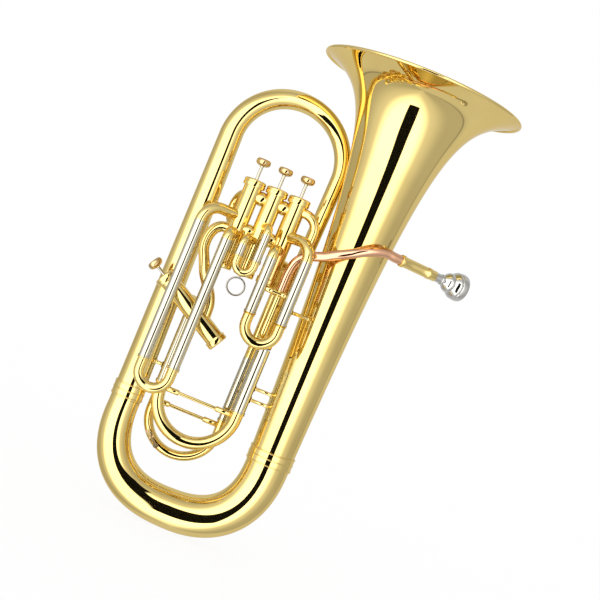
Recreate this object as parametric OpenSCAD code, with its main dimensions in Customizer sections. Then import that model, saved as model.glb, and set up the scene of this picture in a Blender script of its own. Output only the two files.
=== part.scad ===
// Four-valve tenor-register horn with a wide conical bore, three upright pistons and one side piston.
// The origin is the lowest point of the bottom bow. +X points from the main branch to the bell, +Y away from
// the valve slides, and +Z along the bell.

/* [Bell and bows] */
// Outside radius of the bell at its rim
bell_rim_r = 146; // [138:1:152]
// Length of the bell from its tail to its rim
bell_len = 561; // [545:1:585]
// Outside radius of the bell's tail
bell_tail_r = 31.5; // [30:0.5:33]
// Power of the bell's horn curve
bell_flare = 0.37; // [0.34:0.01:0.42]
// Depth of the mouth over which the bell opens fastest
bell_mouth = 16.5; // [14:0.5:19]
// Radius of the rolled bead at the rim
rim_bead_r = 2.4; // [1.8:0.1:3]
// Distance from the main branch to the bell, axis to axis
bow_span = 221; // [217:1:226]
// Outside radius of the bottom bow at the main branch
bow_small_r = 21.5; // [20:0.5:23]
// Power of the bottom bow's taper
bow_taper = 1; // [0.8:0.05:1.3]
// Depth of the bottom bow's curve, from its straight ends to the middle line's lowest point
bow_drop = 112; // [110:0.5:114]
// Power of the bottom bow's outline, where 2 is an ellipse and more is squarer
bow_square = 2.45; // [2.2:0.05:2.6]
// Straight length at each end of the bottom bow
bow_tail = 9; // [6:0.5:12]
// Height of the main branch above the bottom bow
branch_len = 401; // [392:1:410]
// Outside radius of the main branch at its top
branch_top_r = 16.7; // [16:0.1:18]
// How far the main branch leans out at its top
branch_lean = 5; // [3:0.5:7]
// Radius of the top bow's centreline
top_bow_r = 82; // [80:0.5:84]
// Outside radius of the top bow at its small end
top_bow_small_r = 11.5; // [11:0.1:12]
// How far the small end of the top bow lies behind the bell's axis
top_bow_depth = 29; // [27:0.5:33]
// Wall of the bell, bows and branches
bell_wall = 0.8; // [0.6:0.1:1.2]
// Height of the soldered ferrules on the bottom bow
ferrule_h = 21; // [16:1:24]
// Thickness of a ferrule over the tube that it joins
ferrule_t = 1.2; // [0.8:0.1:1.8]

/* [Valves] */
// Distance between neighbouring upright valves
valve_pitch = 33.3; // [32.5:0.1:34.5]
// Place of the first valve along X
valve_x = 10.2; // [9:0.2:12]
// Depth of the upright valves, negative towards the player's slides
valve_y = -24; // [-25:0.5:-23]
// Height of the upright valves' lower ends
valve_z = 371; // [368:1:374]
// Length of an upright valve with its caps
valve_len = 131; // [128:1:134]
// Length of the side valve with its caps
side_valve_len = 121; // [119:1:124]
// Lean of the side valve from the vertical, in degrees
side_valve_lean = 60.5; // [59:0.5:62]
// Outside radius of a valve casing
casing_r = 13.1; // [12.8:0.1:13.4]
// Wall of a valve casing
casing_wall = 1; // [0.8:0.1:1.4]
// Radial running clearance of a piston in its casing
piston_gap = 0.05; // [0.02:0.01:0.09]
// Travel of an upright valve
valve_stroke = 16; // [14:0.5:17]
// Travel of the side valve
side_stroke = 12; // [10:0.5:13]
// Radius of a valve stem
stem_r = 2.3; // [2:0.1:3]
// Radius of a finger button
button_r = 10.5; // [9.5:0.25:11.5]
// Height of a finger button
button_h = 10; // [8:0.5:11]
// Height of a top cap
top_cap_h = 10.5; // [9.5:0.5:12]
// Outside radius of a top cap
top_cap_r = 16; // [15.4:0.1:16.2]
// Outside radius of a bottom cap
bottom_cap_r = 14.8; // [14.4:0.1:15.4]
// Radius of the tubes that cross between the casings
knuckle_r = 10.4; // [9:0.1:11]

/* [Valve slides] */
// Depth of the three front valve slides
slide_y = -59; // [-61:0.5:-58]
// Outside radius of the first and third slide sleeves
slide_r = 8.1; // [7.8:0.1:8.3]
// Outside radius of the second slide's sleeves
small_slide_r = 6.2; // [5.9:0.1:6.5]
// Wall of the slide tubes
slide_wall = 0.6; // [0.5:0.05:0.8]
// Radial clearance of a slide's inner leg in its sleeve
slide_gap = 0.05; // [0.02:0.01:0.09]
// Height of the first slide's sleeve ends
slide_1_z = 329; // [324:1:334]
// Height of the second slide's sleeve ends
slide_2_z = 396; // [393:1:398]
// Height of the third slide's sleeve ends
slide_3_z = 218; // [213:1:224]
// Height of the upper ports of the front slides
port_high_z = 446; // [444:0.5:449]
// Height of the lower ports of the front slides
port_low_z = 422; // [420:0.5:424]

/* [Tuning and fourth slides] */
// Depth of the main tuning slide
tuning_y = -12; // [-13:0.5:-11]
// Distance between the tuning slide's legs
tuning_span = 113.5; // [111:0.5:116]
// Place of the tuning slide's right leg along X
tuning_x = 43.3; // [42:0.1:44.5]
// Outside radius of the tuning slide's sleeves
tuning_r = 9.7; // [9.4:0.1:10]
// Height of the tuning slide's sleeve ends
tuning_z = 192; // [189:1:196]
// Depth of the fourth valve's slide
fourth_y = 14; // [13:0.5:15]
// Distance between the fourth slide's legs
fourth_span = 101.2; // [99:0.4:103]
// Place of the fourth slide's right leg along X
fourth_x = 27.7; // [27:0.1:28.5]
// Outside radius of the fourth slide's sleeves
fourth_r = 7.4; // [7:0.1:7.8]
// Height of the fourth slide's sleeve ends
fourth_z = 171; // [168:1:174]
// Radius of the slides' brace rods
rod_r = 2.5; // [2:0.1:3]

/* [Leadpipe and mouthpiece] */
// Outside radius of the leadpipe
lead_r = 6.8; // [6.4:0.1:7]
// Wall of the leadpipe and its crook
lead_wall = 0.8; // [0.6:0.1:1]
// Outside radius of the mouthpiece receiver
receiver_r = 7.9; // [7.6:0.1:8.4]
// Length of the mouthpiece receiver
receiver_len = 61; // [58:1:64]
// Radius of the mouthpiece rim
mouth_rim_r = 20; // [18.5:0.25:20.5]
// Length of the mouthpiece
mouth_len = 87; // [84:1:90]
// Length of the shank that sits in the receiver
shank_in = 37; // [33:1:40]

/* [Hidden] */
$fn = 64;

// Colours as they look on the finished instrument
brass = "#dcb650";
rose_brass = "#cf9a6a";
nickel = "#d9d4c2";
silver = "#dcdcdc";
steel = "#b8bcc0";
felt_red = "#6b2f2f";

// Gap left for solder and threads between pieces that are fixed to each other
seat = 0.05;

// Curves and sweeps

function unit(v) = v / norm(v);
function mix(a, b, t) = a + (b - a) * t;
function spline_at(a, b, c, d, t) =
    0.5 * (2 * b + (c - a) * t + (2 * a - 5 * b + 4 * c - d) * t * t + (3 * b - a - 3 * c + d) * t * t * t);
// A smooth curve through every point of a list, with steps points to each stretch
function spline(p, steps) = let (n = len(p) - 1) concat(
    [for (i = [0:n - 1], k = [0:steps - 1])
        spline_at(i > 0 ? p[i - 1] : 2 * p[0] - p[1], p[i], p[i + 1],
            i < n - 1 ? p[i + 2] : 2 * p[n] - p[n - 1], k / steps)], [p[n]]);
function tangent(p, i) = unit(p[min(i + 1, len(p) - 1)] - p[max(i - 1, 0)]);
// Rings of points around a path, square to it, with their radii in a list
function rings(p, r, side, n) = [for (i = [0:len(p) - 1])
    let (t = tangent(p, i), a = unit(cross(side, t)), b = cross(t, a))
    for (k = [0:n - 1]) p[i] + r[i] * (cos(360 * k / n) * a + sin(360 * k / n) * b)];
function quad(a, b, c, d) = [[a, b, c], [a, c, d]];
function skin(rows, n, first, flip) = [for (i = [0:rows - 2], k = [0:n - 1])
    let (a = first + i * n + k, b = first + i * n + (k + 1) % n)
    each flip ? quad(a, a + n, b + n, b) : quad(a, b, b + n, a + n)];
// Ring of faces that closes the wall at one end of a swept tube
function lip(n, outer, inner, flip) = [for (k = [0:n - 1])
    let (m = (k + 1) % n)
    each flip ? quad(outer + k, outer + m, inner + m, inner + k)
              : quad(outer + k, inner + k, inner + m, outer + m)];

// Hollow tube swept along a path
module swept_tube(path, radii, wall, side, n = 20) {
    rows = len(path);
    size = rows * n;
    polyhedron(concat(rings(path, radii, side, n), rings(path, [for (r = radii) r - wall], side, n)),
        concat(skin(rows, n, 0, true), skin(rows, n, size, false), lip(n, 0, size, true),
            lip(n, size - n, 2 * size - n, false)));
}

// Solid rod swept along a path
module swept_rod(path, r, side, n) {
    rows = len(path);
    polyhedron(rings(path, [for (p = path) r], side, n), concat(skin(rows, n, 0, true),
        [for (k = [1:n - 2]) [0, k, k + 1]],
        [for (k = [1:n - 2]) [(rows - 1) * n, (rows - 1) * n + k + 1, (rows - 1) * n + k]]));
}

// Straight tube standing on the XY plane
module tube(r, wall, h) {
    difference() {
        cylinder(r = r, h = h);
        translate([0, 0, -1]) cylinder(r = r - wall, h = h + 2);
    }
}

// Straight tube with a ring round its lower end
ring_h = 2.4;
ring_t = 0.9;
module ringed_tube(r, wall, h) {
    rotate_extrude() polygon([[r - wall, 0], [r + ring_t, 0], [r + ring_t, ring_h], [r, ring_h], [r, h],
        [r - wall, h]]);
}

// Bend that starts at the origin along +Z and turns towards +X
module bend(r, wall, radius, angle = 90) {
    translate([radius, 0, 0]) rotate([90, 0, 0]) mirror([1, 0, 0])
        rotate_extrude(angle = angle) translate([radius, 0]) difference() {
            circle(r);
            circle(r - wall);
        }
}

// Tube of straight runs and bends from the origin along +Z. Each run is [length, bend radius, heading,
// bend angle], and the heading turns the run around the tube from the plane of the bend before it.
// A ring can go round its start.
module pipe(r, wall, runs, ring = false, i = 0) {
    if (i < len(runs)) {
        length = runs[i][0];
        radius = runs[i][1];
        angle = runs[i][3];
        rotate([0, 0, runs[i][2]]) {
            if (ring) ringed_tube(r, wall, length);
            else if (length > 0) tube(r, wall, length);
            translate([0, 0, length]) {
                if (radius > 0) bend(r, wall, radius, angle);
                translate([radius * (1 - cos(angle)), 0, radius * sin(angle)]) rotate([0, angle, 0])
                    pipe(r, wall, runs, false, i + 1);
            }
        }
    }
}

// Puts its children so that their +Z points along a direction
module along(v) {
    rotate([0, acos(v[2] / norm(v)), atan2(v[1], v[0])]) children();
}

// Rod between two points
module strut(a, b, r) {
    translate(a) along(b - a) cylinder(r = r, h = norm(b - a));
}

// Bell and bows

bell_x = bow_span / 2;
bow_r = bow_span / 2;
function bow_tube_r(t) = mix(bow_small_r, bell_tail_r, pow(sin(90 * t), bow_taper));
bow_z = bow_drop + bow_tube_r(0.5);
joint_z = bow_z + bow_tail;
rim_z = joint_z + bell_len;
function horn(d) = pow((d + bell_mouth) / bell_mouth, -bell_flare);
// Outside radius of the bell at a distance below its rim
function bell_r(d) = bell_tail_r
    + (bell_rim_r - bell_tail_r) * (horn(d) - horn(bell_len)) / (1 - horn(bell_len));
bell_steps = 26;
function bell_d(k) = bell_len * pow(k / bell_steps, 2.2);
// Direction square to the bell's outline, pointing inwards
function bell_in(d) = let (s = (bell_r(d + 0.1) - bell_r(d)) / 0.1) unit([-1, -s]);

rim_bead_at = [bell_rim_r - 0.4, 0.2];
function bell_point(k, depth) = [bell_r(bell_d(k)), -bell_d(k)] + depth * bell_in(bell_d(k));
function off_bead(p) = norm(p - rim_bead_at) > rim_bead_r + 0.1;
bell_outside = [for (k = [bell_steps:-1:0]) if (off_bead(bell_point(k, 0))) bell_point(k, 0)];
bell_inside = [for (k = [0:bell_steps]) if (off_bead(bell_point(k, bell_wall))) bell_point(k, bell_wall)];
function bead_angle(p) = atan2(p[1] - rim_bead_at[1], p[0] - rim_bead_at[0]);
bead_start = bead_angle(bell_outside[len(bell_outside) - 1]);
bead_turn = (bead_angle(bell_inside[0]) - bead_start + 720) % 360;
bead_steps = 16;

module bell() {
    color(brass) translate([bell_x, 0, rim_z]) rotate_extrude() polygon(concat(bell_outside,
        [for (k = [0:bead_steps]) let (a = bead_start + bead_turn * k / bead_steps)
            rim_bead_at + rim_bead_r * [cos(a), sin(a)]],
        bell_inside));
}

// Sleeve around a tapering joint with a bead at each edge; low and high are the tube's radii at its ends
module ferrule(low, high, h) {
    bead = ferrule_t * 0.7;
    rotate_extrude() difference() {
        union() {
            polygon([[low, 0], [low + ferrule_t, 0], [high + ferrule_t, h], [high, h]]);
            for (t = [0.08, 0.5, 0.92]) translate([mix(low, high, t) + ferrule_t, h * t]) circle(bead);
        }
        polygon([[low - 3, -3], [low + seat, -3], [low + seat, 0], [high + seat, h], [high + seat, h + 3],
            [high - 3, h + 3]]);
    }
}

// The bell's ferrule hangs half below the joint, the main branch's stands just above it
bell_ferrule_z = joint_z - ferrule_h / 2;
module bell_ferrule() {
    color(brass) translate([bell_x, 0, bell_ferrule_z])
        ferrule(bell_tail_r + 0.15, bell_r(bell_len - ferrule_h / 2) + 0.1, ferrule_h);
}

bow_steps = 26;
function bow_reach(a) = pow(pow(abs(cos(a)) / bow_r, bow_square) + pow(abs(sin(a)) / bow_drop, bow_square),
    -1 / bow_square);
bow_path = concat([[-bow_r, 0, joint_z]],
    [for (k = [0:bow_steps]) let (a = 180 + 180 * k / bow_steps, r = bow_reach(a))
        [r * cos(a), 0, bow_z + r * sin(a)]],
    [[bow_r, 0, joint_z]]);
bow_radii = concat([bow_small_r], [for (k = [0:bow_steps]) bow_tube_r(k / bow_steps)], [bell_tail_r]);
module bottom_bow() {
    color(brass) swept_tube(bow_path, bow_radii, bell_wall, [0, 1, 0], 24);
}

// The gap at its foot leaves room for its lean
branch_low = [-bow_r, 0, joint_z + seat + bow_small_r * branch_lean / branch_len];
branch_top_z = joint_z + branch_len;
branch_high = [-bow_r - branch_lean, 0, branch_top_z];
branch_dir = unit(branch_high - branch_low);
// Straight stub at each end of the top bow
top_bow_tail = 3;
module main_branch() {
    h = norm(branch_high - branch_low) - top_bow_tail - seat;
    color(brass) translate(branch_low) along(branch_dir) difference() {
        cylinder(r1 = bow_small_r, r2 = branch_top_r, h = h);
        translate([0, 0, -0.01])
            cylinder(r1 = bow_small_r - bell_wall, r2 = branch_top_r - bell_wall, h = h + 0.02);
    }
}

module branch_ferrule() {
    slope = (bow_small_r - branch_top_r) / branch_len;
    color(brass) translate(branch_low + branch_dir) along(branch_dir)
        ferrule(bow_small_r + 0.05, bow_small_r - slope * ferrule_h + 0.05, ferrule_h);
}

// Top bow, from the main branch over to the descending branch, which runs forward as it comes down
top_bow_x = branch_high[0] + top_bow_r;
small_x = top_bow_x + top_bow_r;
tuning_top_z = tuning_z + 98;
tuning_end = [tuning_x, tuning_y, tuning_top_z];
// Its small end lies as deep as set, or deeper where the branch would come too near to the bell
bell_gap = 0.5;
function bell_room(z, t) = bell_r(rim_z - z) + mix(top_bow_small_r, tuning_r, t) + bell_gap;
function depth_at(t) = let (room = bell_room(mix(branch_top_z, tuning_top_z, t), t),
    aside = bell_x - mix(small_x, tuning_x, t))
    aside < room ? (sqrt(room * room - aside * aside) - t * tuning_y) / (1 - t) : 0;
small_end = [small_x, max(concat([top_bow_depth], [for (k = [0:30]) depth_at(k / 50)])), branch_top_z];
echo(small_end = small_end);
fall = (small_end[1] - tuning_end[1]) / (small_end[2] - tuning_end[2]);
top_steps = 22;
fall_dir = unit(tuning_end - small_end);
top_path = concat([branch_high - top_bow_tail * branch_dir],
    [for (k = [0:top_steps]) let (a = 180 - 180 * k / top_steps, w = (1 + cos(a)) / 2)
        [top_bow_x + top_bow_r * cos(a), w * (small_end[1] + fall * top_bow_r * sin(a)),
            branch_top_z + top_bow_r * sin(a)]],
    [small_end + top_bow_tail * fall_dir]);
top_radii = concat([branch_top_r],
    [for (k = [0:top_steps]) mix(branch_top_r, top_bow_small_r, pow(k / top_steps, 0.8))], [top_bow_small_r]);
module top_bow() {
    color(brass) swept_tube(top_path, top_radii, bell_wall, [0, 1, 0]);
}

module descending_branch() {
    start = top_bow_tail + seat;
    h = norm(tuning_end - small_end) - start - seat;
    color(brass) translate(small_end + start * fall_dir) along(fall_dir) difference() {
        cylinder(r1 = top_bow_small_r, r2 = tuning_r, h = h);
        translate([0, 0, -0.01])
            cylinder(r1 = top_bow_small_r - bell_wall, r2 = tuning_r - bell_wall, h = h + 0.02);
    }
}

// Valves: each is drawn standing on the XY plane and put in place by its own frame

side_valve = [-17.4, -36, 271.7];
valve_at = [for (i = [0:3]) i < 3 ? [valve_x - valve_pitch * i, valve_y, valve_z] : side_valve];
function valve_lean(i) = i < 3 ? 0 : -side_valve_lean;
function valve_height(i) = i < 3 ? valve_len : side_valve_len;
function valve_travel(i) = i < 3 ? valve_stroke : side_stroke;
function valve_axis(i) = [sin(valve_lean(i)), 0, cos(valve_lean(i))];
// Point on a valve's axis at a distance from its lower end
function valve_point(i, t) = valve_at[i] + t * valve_axis(i);

cap_floor = 4;
bottom_cap_h = 10;
top_plate = 6;
felt_h = 2.3;
stem_rise = 5;
function casing_top(i) = valve_height(i) - top_plate - seat;
function piston_top(i) = valve_height(i) - top_plate - felt_h - 3 * seat;
function button_low(i) = valve_height(i) + valve_travel(i) + stem_rise - (i < 3 ? 0 : 2);
piston_r = casing_r - casing_wall - piston_gap;
piston_low = 36;

module valve_frame(i) {
    translate(valve_at[i]) rotate([0, valve_lean(i), 0]) children();
}

// Space that a casing fills, for the tubes that end on it
module casing_space(i) {
    valve_frame(i) translate([0, 0, -1]) cylinder(r = casing_r + seat, h = valve_height(i) + 2);
}

module valve_casing(i) {
    low = cap_floor + seat;
    color(brass) valve_frame(i) translate([0, 0, low]) tube(casing_r, casing_wall, casing_top(i) - low);
}

module top_caps() {
    color(brass) for (i = [0:3]) valve_frame(i) translate([0, 0, valve_height(i)]) difference() {
        rotate_extrude() polygon([[0, 0], [stem_r + 2.5, 0.8], [top_cap_r - 2.5, 0], [top_cap_r - 0.6, -1],
            [top_cap_r, -3], [top_cap_r, -top_cap_h + 1], [top_cap_r - 0.6, -top_cap_h], [0, -top_cap_h]]);
        translate([0, 0, -top_cap_h - 1]) cylinder(r = casing_r + seat, h = top_cap_h + 1 - top_plate);
        translate([0, 0, -top_cap_h]) cylinder(r = stem_r + 0.4, h = top_cap_h + 2);
    }
}

module bottom_caps() {
    color(brass) for (i = [0:3]) valve_frame(i) difference() {
        rotate_extrude() polygon([[0, 0], [bottom_cap_r - 3, 0], [bottom_cap_r - 1, 0.6], [bottom_cap_r, 2],
            [bottom_cap_r, bottom_cap_h - 0.6], [bottom_cap_r - 0.6, bottom_cap_h], [0, bottom_cap_h]]);
        translate([0, 0, cap_floor]) cylinder(r = casing_r + seat, h = bottom_cap_h);
        translate([0, 0, -1]) cylinder(r = 2.5, h = cap_floor + 2);
    }
}

module piston(i) {
    wall = 1.2;
    plate = 3;
    port_r = slide_r - slide_wall - 1.2;
    high = piston_top(i);
    color(nickel) valve_frame(i) difference() {
        translate([0, 0, piston_low]) cylinder(r = piston_r, h = high - piston_low);
        translate([0, 0, piston_low + plate]) cylinder(r = piston_r - wall, h = high - piston_low - 2 * plate);
        translate([0, 0, piston_low - 1]) cylinder(r = piston_r / 2, h = plate + 2);
        for (k = [0:2]) translate([0, 0, piston_low + 16 + 24 * k]) rotate([90, 0, 60 * k])
            cylinder(r = port_r, h = 4 * piston_r, center = true);
    }
}

module stem(i) {
    color(nickel) valve_frame(i) translate([0, 0, piston_top(i)])
        cylinder(r = stem_r, h = button_low(i) - piston_top(i));
}

module finger_button(i) {
    r = button_r;
    h = button_h;
    color(brass) valve_frame(i) translate([0, 0, button_low(i)]) rotate_extrude()
        polygon([[0, 0], [r * 0.55, 0], [r * 0.85, h * 0.16], [r * 0.97, h * 0.36], [r, h * 0.55], [r * 0.96, h * 0.8],
            [r * 0.86, h * 0.95], [r * 0.72, h], [r * 0.6, h * 0.95], [0, h * 0.88]]);
}

module felt_washer(i) {
    color(felt_red) valve_frame(i) translate([0, 0, piston_top(i) + seat]) difference() {
        cylinder(r = piston_r - 1.5, h = felt_h);
        translate([0, 0, -1]) cylinder(r = stem_r + 0.2, h = felt_h + 2);
    }
}

// Coil spring between the bottom cap's floor and the piston
spring_curls = 7;
spring_rings = 8;
spring_wire_r = 0.6;
spring_r = piston_r - 3;
spring_low = cap_floor + spring_wire_r + 0.1;
spring_high = piston_low - spring_wire_r - 0.1;
spring_path = [for (k = [0:spring_curls * spring_rings]) let (a = 360 * k / spring_rings)
    [spring_r * cos(a), spring_r * sin(a), mix(spring_low, spring_high, k / (spring_curls * spring_rings))]];
// Least gap between the curls, measured on the points of the wire's middle line
echo(spring_gap = min([for (i = [0:len(spring_path) - 1], j = [i + spring_rings / 2:1:len(spring_path) - 1])
    norm(spring_path[i] - spring_path[j])]) - 2 * spring_wire_r);
module valve_spring(i) {
    color(steel) valve_frame(i) swept_rod(spring_path, spring_wire_r, [0, 0, 1], 6);
}

// Tubes that carry the air from casing to casing
knuckle_high = valve_len - top_cap_h - knuckle_r - 1;
knuckle_low = port_low_z + 9.5 - valve_z;
module valve_knuckles() {
    color(brass) for (i = [0:1], t = [knuckle_high, knuckle_low]) difference() {
        translate(valve_point(i, t)) rotate([0, -90, 0]) tube(knuckle_r, slide_wall, valve_pitch);
        casing_space(i);
        casing_space(i + 1);
    }
}

// Slides: each has fixed sleeves with a ring at the lower end, and a bow whose inner legs run in them

bow_step = 0.5;
function leg_r(r) = r - slide_wall - slide_gap;
function bore_r(r) = leg_r(r) - slide_wall;
function slide_tube_r(r) = r - bow_step;

// Bow with its two inner legs: x holds the legs' places, low is the height of the sleeve ends
module u_slide(x, y, low, drop, r, leg_in) {
    bow_low = low - drop;
    shoulder = drop - seat;
    bow_tube = slide_tube_r(r);
    bore = bore_r(r);
    translate([x[0], y, bow_low]) mirror([0, 0, 1]) bend(bow_tube, bow_tube - bore, (x[1] - x[0]) / 2, 180);
    for (leg = x) translate([leg, y, bow_low]) rotate_extrude() polygon([[bore, 0], [bow_tube, 0],
        [bow_tube, shoulder - ring_h], [r + ring_t, shoulder - ring_h], [r + ring_t, shoulder], [leg_r(r), shoulder],
        [leg_r(r), drop + leg_in], [bore, drop + leg_in]]);
}

// Rod with thicker ends between the legs of a slide's bow
rod_end_r = rod_r * 1.6;
module slide_rod(x, y, z, r, end_left, end_right) {
    reach = slide_tube_r(r) + 2 * seat;
    low = x[0] + reach;
    high = x[1] - reach;
    translate([low, y, z]) rotate([0, 90, 0]) {
        cylinder(r = rod_r, h = high - low);
        cylinder(r = rod_end_r, h = end_left);
        translate([0, 0, high - low - end_right]) cylinder(r = rod_end_r, h = end_right);
    }
}

// Front slides: each leg climbs to a port and turns towards its valve, the far leg over a longer way
stub_bend = 12;
small_bend = 10;
near_bend = [stub_bend, small_bend, stub_bend];
far_bend = [24, small_bend, 26];
far_entry = [41.9, 10.9, -47.7];
near_entry = [-3.8, -14.6, -4.1];
// Depth to which a tube runs on past a casing's wall, before it is cut to that wall
port_in = 6;
slide_low = [slide_1_z, slide_2_z, slide_3_z];
slide_size = [slide_r, small_slide_r, slide_r];
slide_drop = [13, 8, 14];
leg_in = [70, 11, 110];
function near_x(i) = valve_at[i][0] + near_entry[i];
function far_x(i) = valve_at[i][0] + far_entry[i];
function slide_x(i) = [min(near_x(i), far_x(i)), max(near_x(i), far_x(i))];

// Sleeve that climbs to a port and turns towards the valve's axis
module turning_leg(x, i, port_z, radius) {
    way = [valve_at[i][0] - x, valve_at[i][1] - slide_y];
    translate([x, slide_y, slide_low[i]]) pipe(slide_size[i], slide_wall,
        [[port_z - radius - slide_low[i], radius, atan2(way[1], way[0]), 90],
        [norm(way) - radius - casing_r + port_in, 0, 0, 0]], true);
}

module slide_legs(i) {
    color(nickel) difference() {
        union() {
            turning_leg(near_x(i), i, port_low_z, near_bend[i]);
            turning_leg(far_x(i), i, port_high_z, far_bend[i]);
        }
        casing_space(i);
    }
}

module slide_bow(i) {
    color(brass) u_slide(slide_x(i), slide_y, slide_low[i], slide_drop[i], slide_size[i], leg_in[i]);
}

// Finger ring under the second slide's bow
ring_r = 10.9;
ring_band = 2.7;
ring_depth = 3.2;
ring_lug = 1.2;
second_span = slide_x(1)[1] - slide_x(1)[0];
second_low = slide_2_z - slide_drop[1] - second_span / 2 - slide_tube_r(small_slide_r);
ring_at = [(slide_x(1)[0] + slide_x(1)[1]) / 2, slide_y, second_low - ring_lug - ring_r - ring_band];
module pull_ring() {
    color(nickel) translate(ring_at) {
        rotate([90, 0, 0]) translate([0, 0, -ring_depth / 2]) tube(ring_r + ring_band, ring_band, ring_depth);
        translate([0, 0, ring_r + ring_band / 2])
            cylinder(r = ring_depth * 0.42, h = ring_band / 2 + ring_lug - seat);
    }
}

// Main tuning slide: the left leg comes from the side valve, the right leg goes on into the descending branch

tuning_legs = [tuning_x - tuning_span, tuning_x];
tuning_drop = 9;
tuning_in = 85;
tuning_port = (side_valve[0] - tuning_legs[0]) / sin(side_valve_lean);
module tuning_leg_left() {
    rise = valve_point(3, tuning_port)[2] - stub_bend - tuning_z;
    color(nickel) difference() {
        translate([tuning_legs[0], tuning_y, tuning_z])
            pipe(tuning_r, slide_wall, [[rise, stub_bend, -90, 90], [stub_bend, 0, 0, 0]], true);
        casing_space(3);
    }
}

module tuning_leg_right() {
    color(nickel) translate([tuning_legs[1], tuning_y, tuning_z])
        ringed_tube(tuning_r, slide_wall, tuning_top_z - 2 - tuning_z);
}

module tuning_bow() {
    color(brass) u_slide(tuning_legs, tuning_y, tuning_z, tuning_drop, tuning_r, tuning_in);
}

module tuning_brace() {
    rod_z = tuning_z - ring_h - rod_end_r - 3 * seat;
    color(brass) slide_rod(tuning_legs, tuning_y, rod_z, tuning_r, 18, 22);
}

// Fourth slide: its left leg comes from the side valve, its right leg climbs to the first valve's back

fourth_legs = [fourth_x - fourth_span, fourth_x];
fourth_drop = 21;
fourth_in = 68;
fourth_port = 84;
fourth_bend = 11;
back_port = 36;
// Leg that climbs from a sleeve end and turns to meet a point on a valve's axis
module climbing_leg(x, target, i) {
    out = [target[0] - x, target[1] - fourth_y];
    color(nickel) difference() {
        translate([x, fourth_y, fourth_z]) pipe(fourth_r, slide_wall,
            [[target[2] - fourth_bend - fourth_z, fourth_bend, atan2(out[1], out[0]), 90],
            [norm(out) - fourth_bend, 0, 0, 0]], true);
        casing_space(i);
    }
}

module fourth_leg_left() {
    climbing_leg(fourth_legs[0], valve_point(3, fourth_port), 3);
}

module fourth_leg_right() {
    climbing_leg(fourth_legs[1], valve_point(0, back_port), 0);
}

module fourth_bow() {
    color(brass) u_slide(fourth_legs, fourth_y, fourth_z, fourth_drop, fourth_r, fourth_in);
}

module fourth_brace() {
    color(brass) slide_rod(fourth_legs, fourth_y, fourth_z - 8.5, fourth_r, 16, 20);
}

// Compensating loops behind the upright valves, the third turned out to the side
loop_tube_r = 6.2;
loop_r = [17, 11, 22];
loop_turn = [0, 0, 29];
loop_low = 64;
loop_reach = casing_r + 4;
module compensating_loops() {
    color(brass) for (i = [0:2]) difference() {
        translate(valve_point(i, loop_low)) rotate([0, 0, loop_turn[i]]) rotate([-90, 0, 0])
            pipe(loop_tube_r, slide_wall, [[loop_reach, loop_r[i], -90, 180], [loop_reach, 0, 0, 0]]);
        casing_space(i);
    }
}

// Water key on the front of the fourth slide's bow: hinge pin across two ears, spout under a padded lever

key_angle = 229;
key_at = [(fourth_legs[0] + fourth_legs[1]) / 2, fourth_y, fourth_z - fourth_drop]
    + fourth_span / 2 * [cos(key_angle), 0, sin(key_angle)];
key_seat = slide_tube_r(fourth_r) + 0.3;
key_base = 0.9;
key_pivot = key_seat + 3.2;
key_pin_r = 0.9;
spout_x = -9;
spout_top = key_seat + 3;
echo(key_pivot = key_at - [0, key_pivot, 0], key_axis = [sin(270 - key_angle), 0, cos(270 - key_angle)]);
module key_frame() {
    translate(key_at) rotate([0, 270 - key_angle, 0]) rotate([90, 0, 0]) children();
}

module water_key_saddle() {
    color(brass) key_frame() difference() {
        union() {
            translate([spout_x - 3.5, -3.6, 0]) cube([18, 7.2, key_seat + key_base]);
            translate([spout_x, 0, 0]) cylinder(r = 2.8, h = spout_top);
            for (side = [-1, 1]) translate([0, side * 3.1, 0]) rotate([90, 0, 0])
                translate([0, 0, -0.5]) linear_extrude(1) union() {
                    translate([-2, 0]) square([4, key_pivot]);
                    translate([0, key_pivot]) circle(2);
                }
            translate([0, 3.6, key_pivot]) rotate([90, 0, 0]) cylinder(r = key_pin_r, h = 7.2);
        }
        translate([0, fourth_span / 2, 0]) rotate_extrude() translate([fourth_span / 2, 0]) circle(key_seat);
        translate([spout_x, 0, 0]) cylinder(r = 1.4, h = spout_top + 1);
    }
}

module water_key_lever() {
    pad_low = spout_top + 0.3;
    arm_low = pad_low + 1.2;
    color(brass) key_frame() difference() {
        union() {
            translate([0, 2.4, key_pivot]) rotate([90, 0, 0]) cylinder(r = 2, h = 4.8);
            translate([spout_x, 0, pad_low]) cylinder(r = 3.2, h = 2.2);
            translate([spout_x, -1.5, arm_low]) cube([-spout_x + 12, 3, 1]);
            translate([13, 0, arm_low]) cylinder(r = 4, h = 1);
        }
        translate([0, 5, key_pivot]) rotate([90, 0, 0]) cylinder(r = key_pin_r + 0.05, h = 10);
    }
}

// Link from the side of the third valve down to the side valve

link_r = 7.6;
link_path = spline(concat(
    [for (p = [[-6, 0, 54], [-13.7, 0, 54], [-21, 0, 52.4], [-27.3, 0, 46.9], [-31.3, 0, 38],
        [-32.6, -0.3, 27], [-31, -1.4, 15]]) valve_at[2] + p],
    [for (p = [[-62, 7, 97], [-55.8, 4.5, 83.6], [-46.8, 2.5, 70.8], [-38.4, 1, 59], [-33.4, 0, 47],
        [-32, 0, 35], [-32, 0, 26]]) side_valve + p]), 2);
module valve_link() {
    color(brass) difference() {
        swept_tube(link_path, [for (p = link_path) link_r], slide_wall, [0, 1, 0], 16);
        casing_space(2);
        casing_space(3);
    }
}

// Leadpipe, from the receiver across the front of the bell and down beside the first slide

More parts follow.
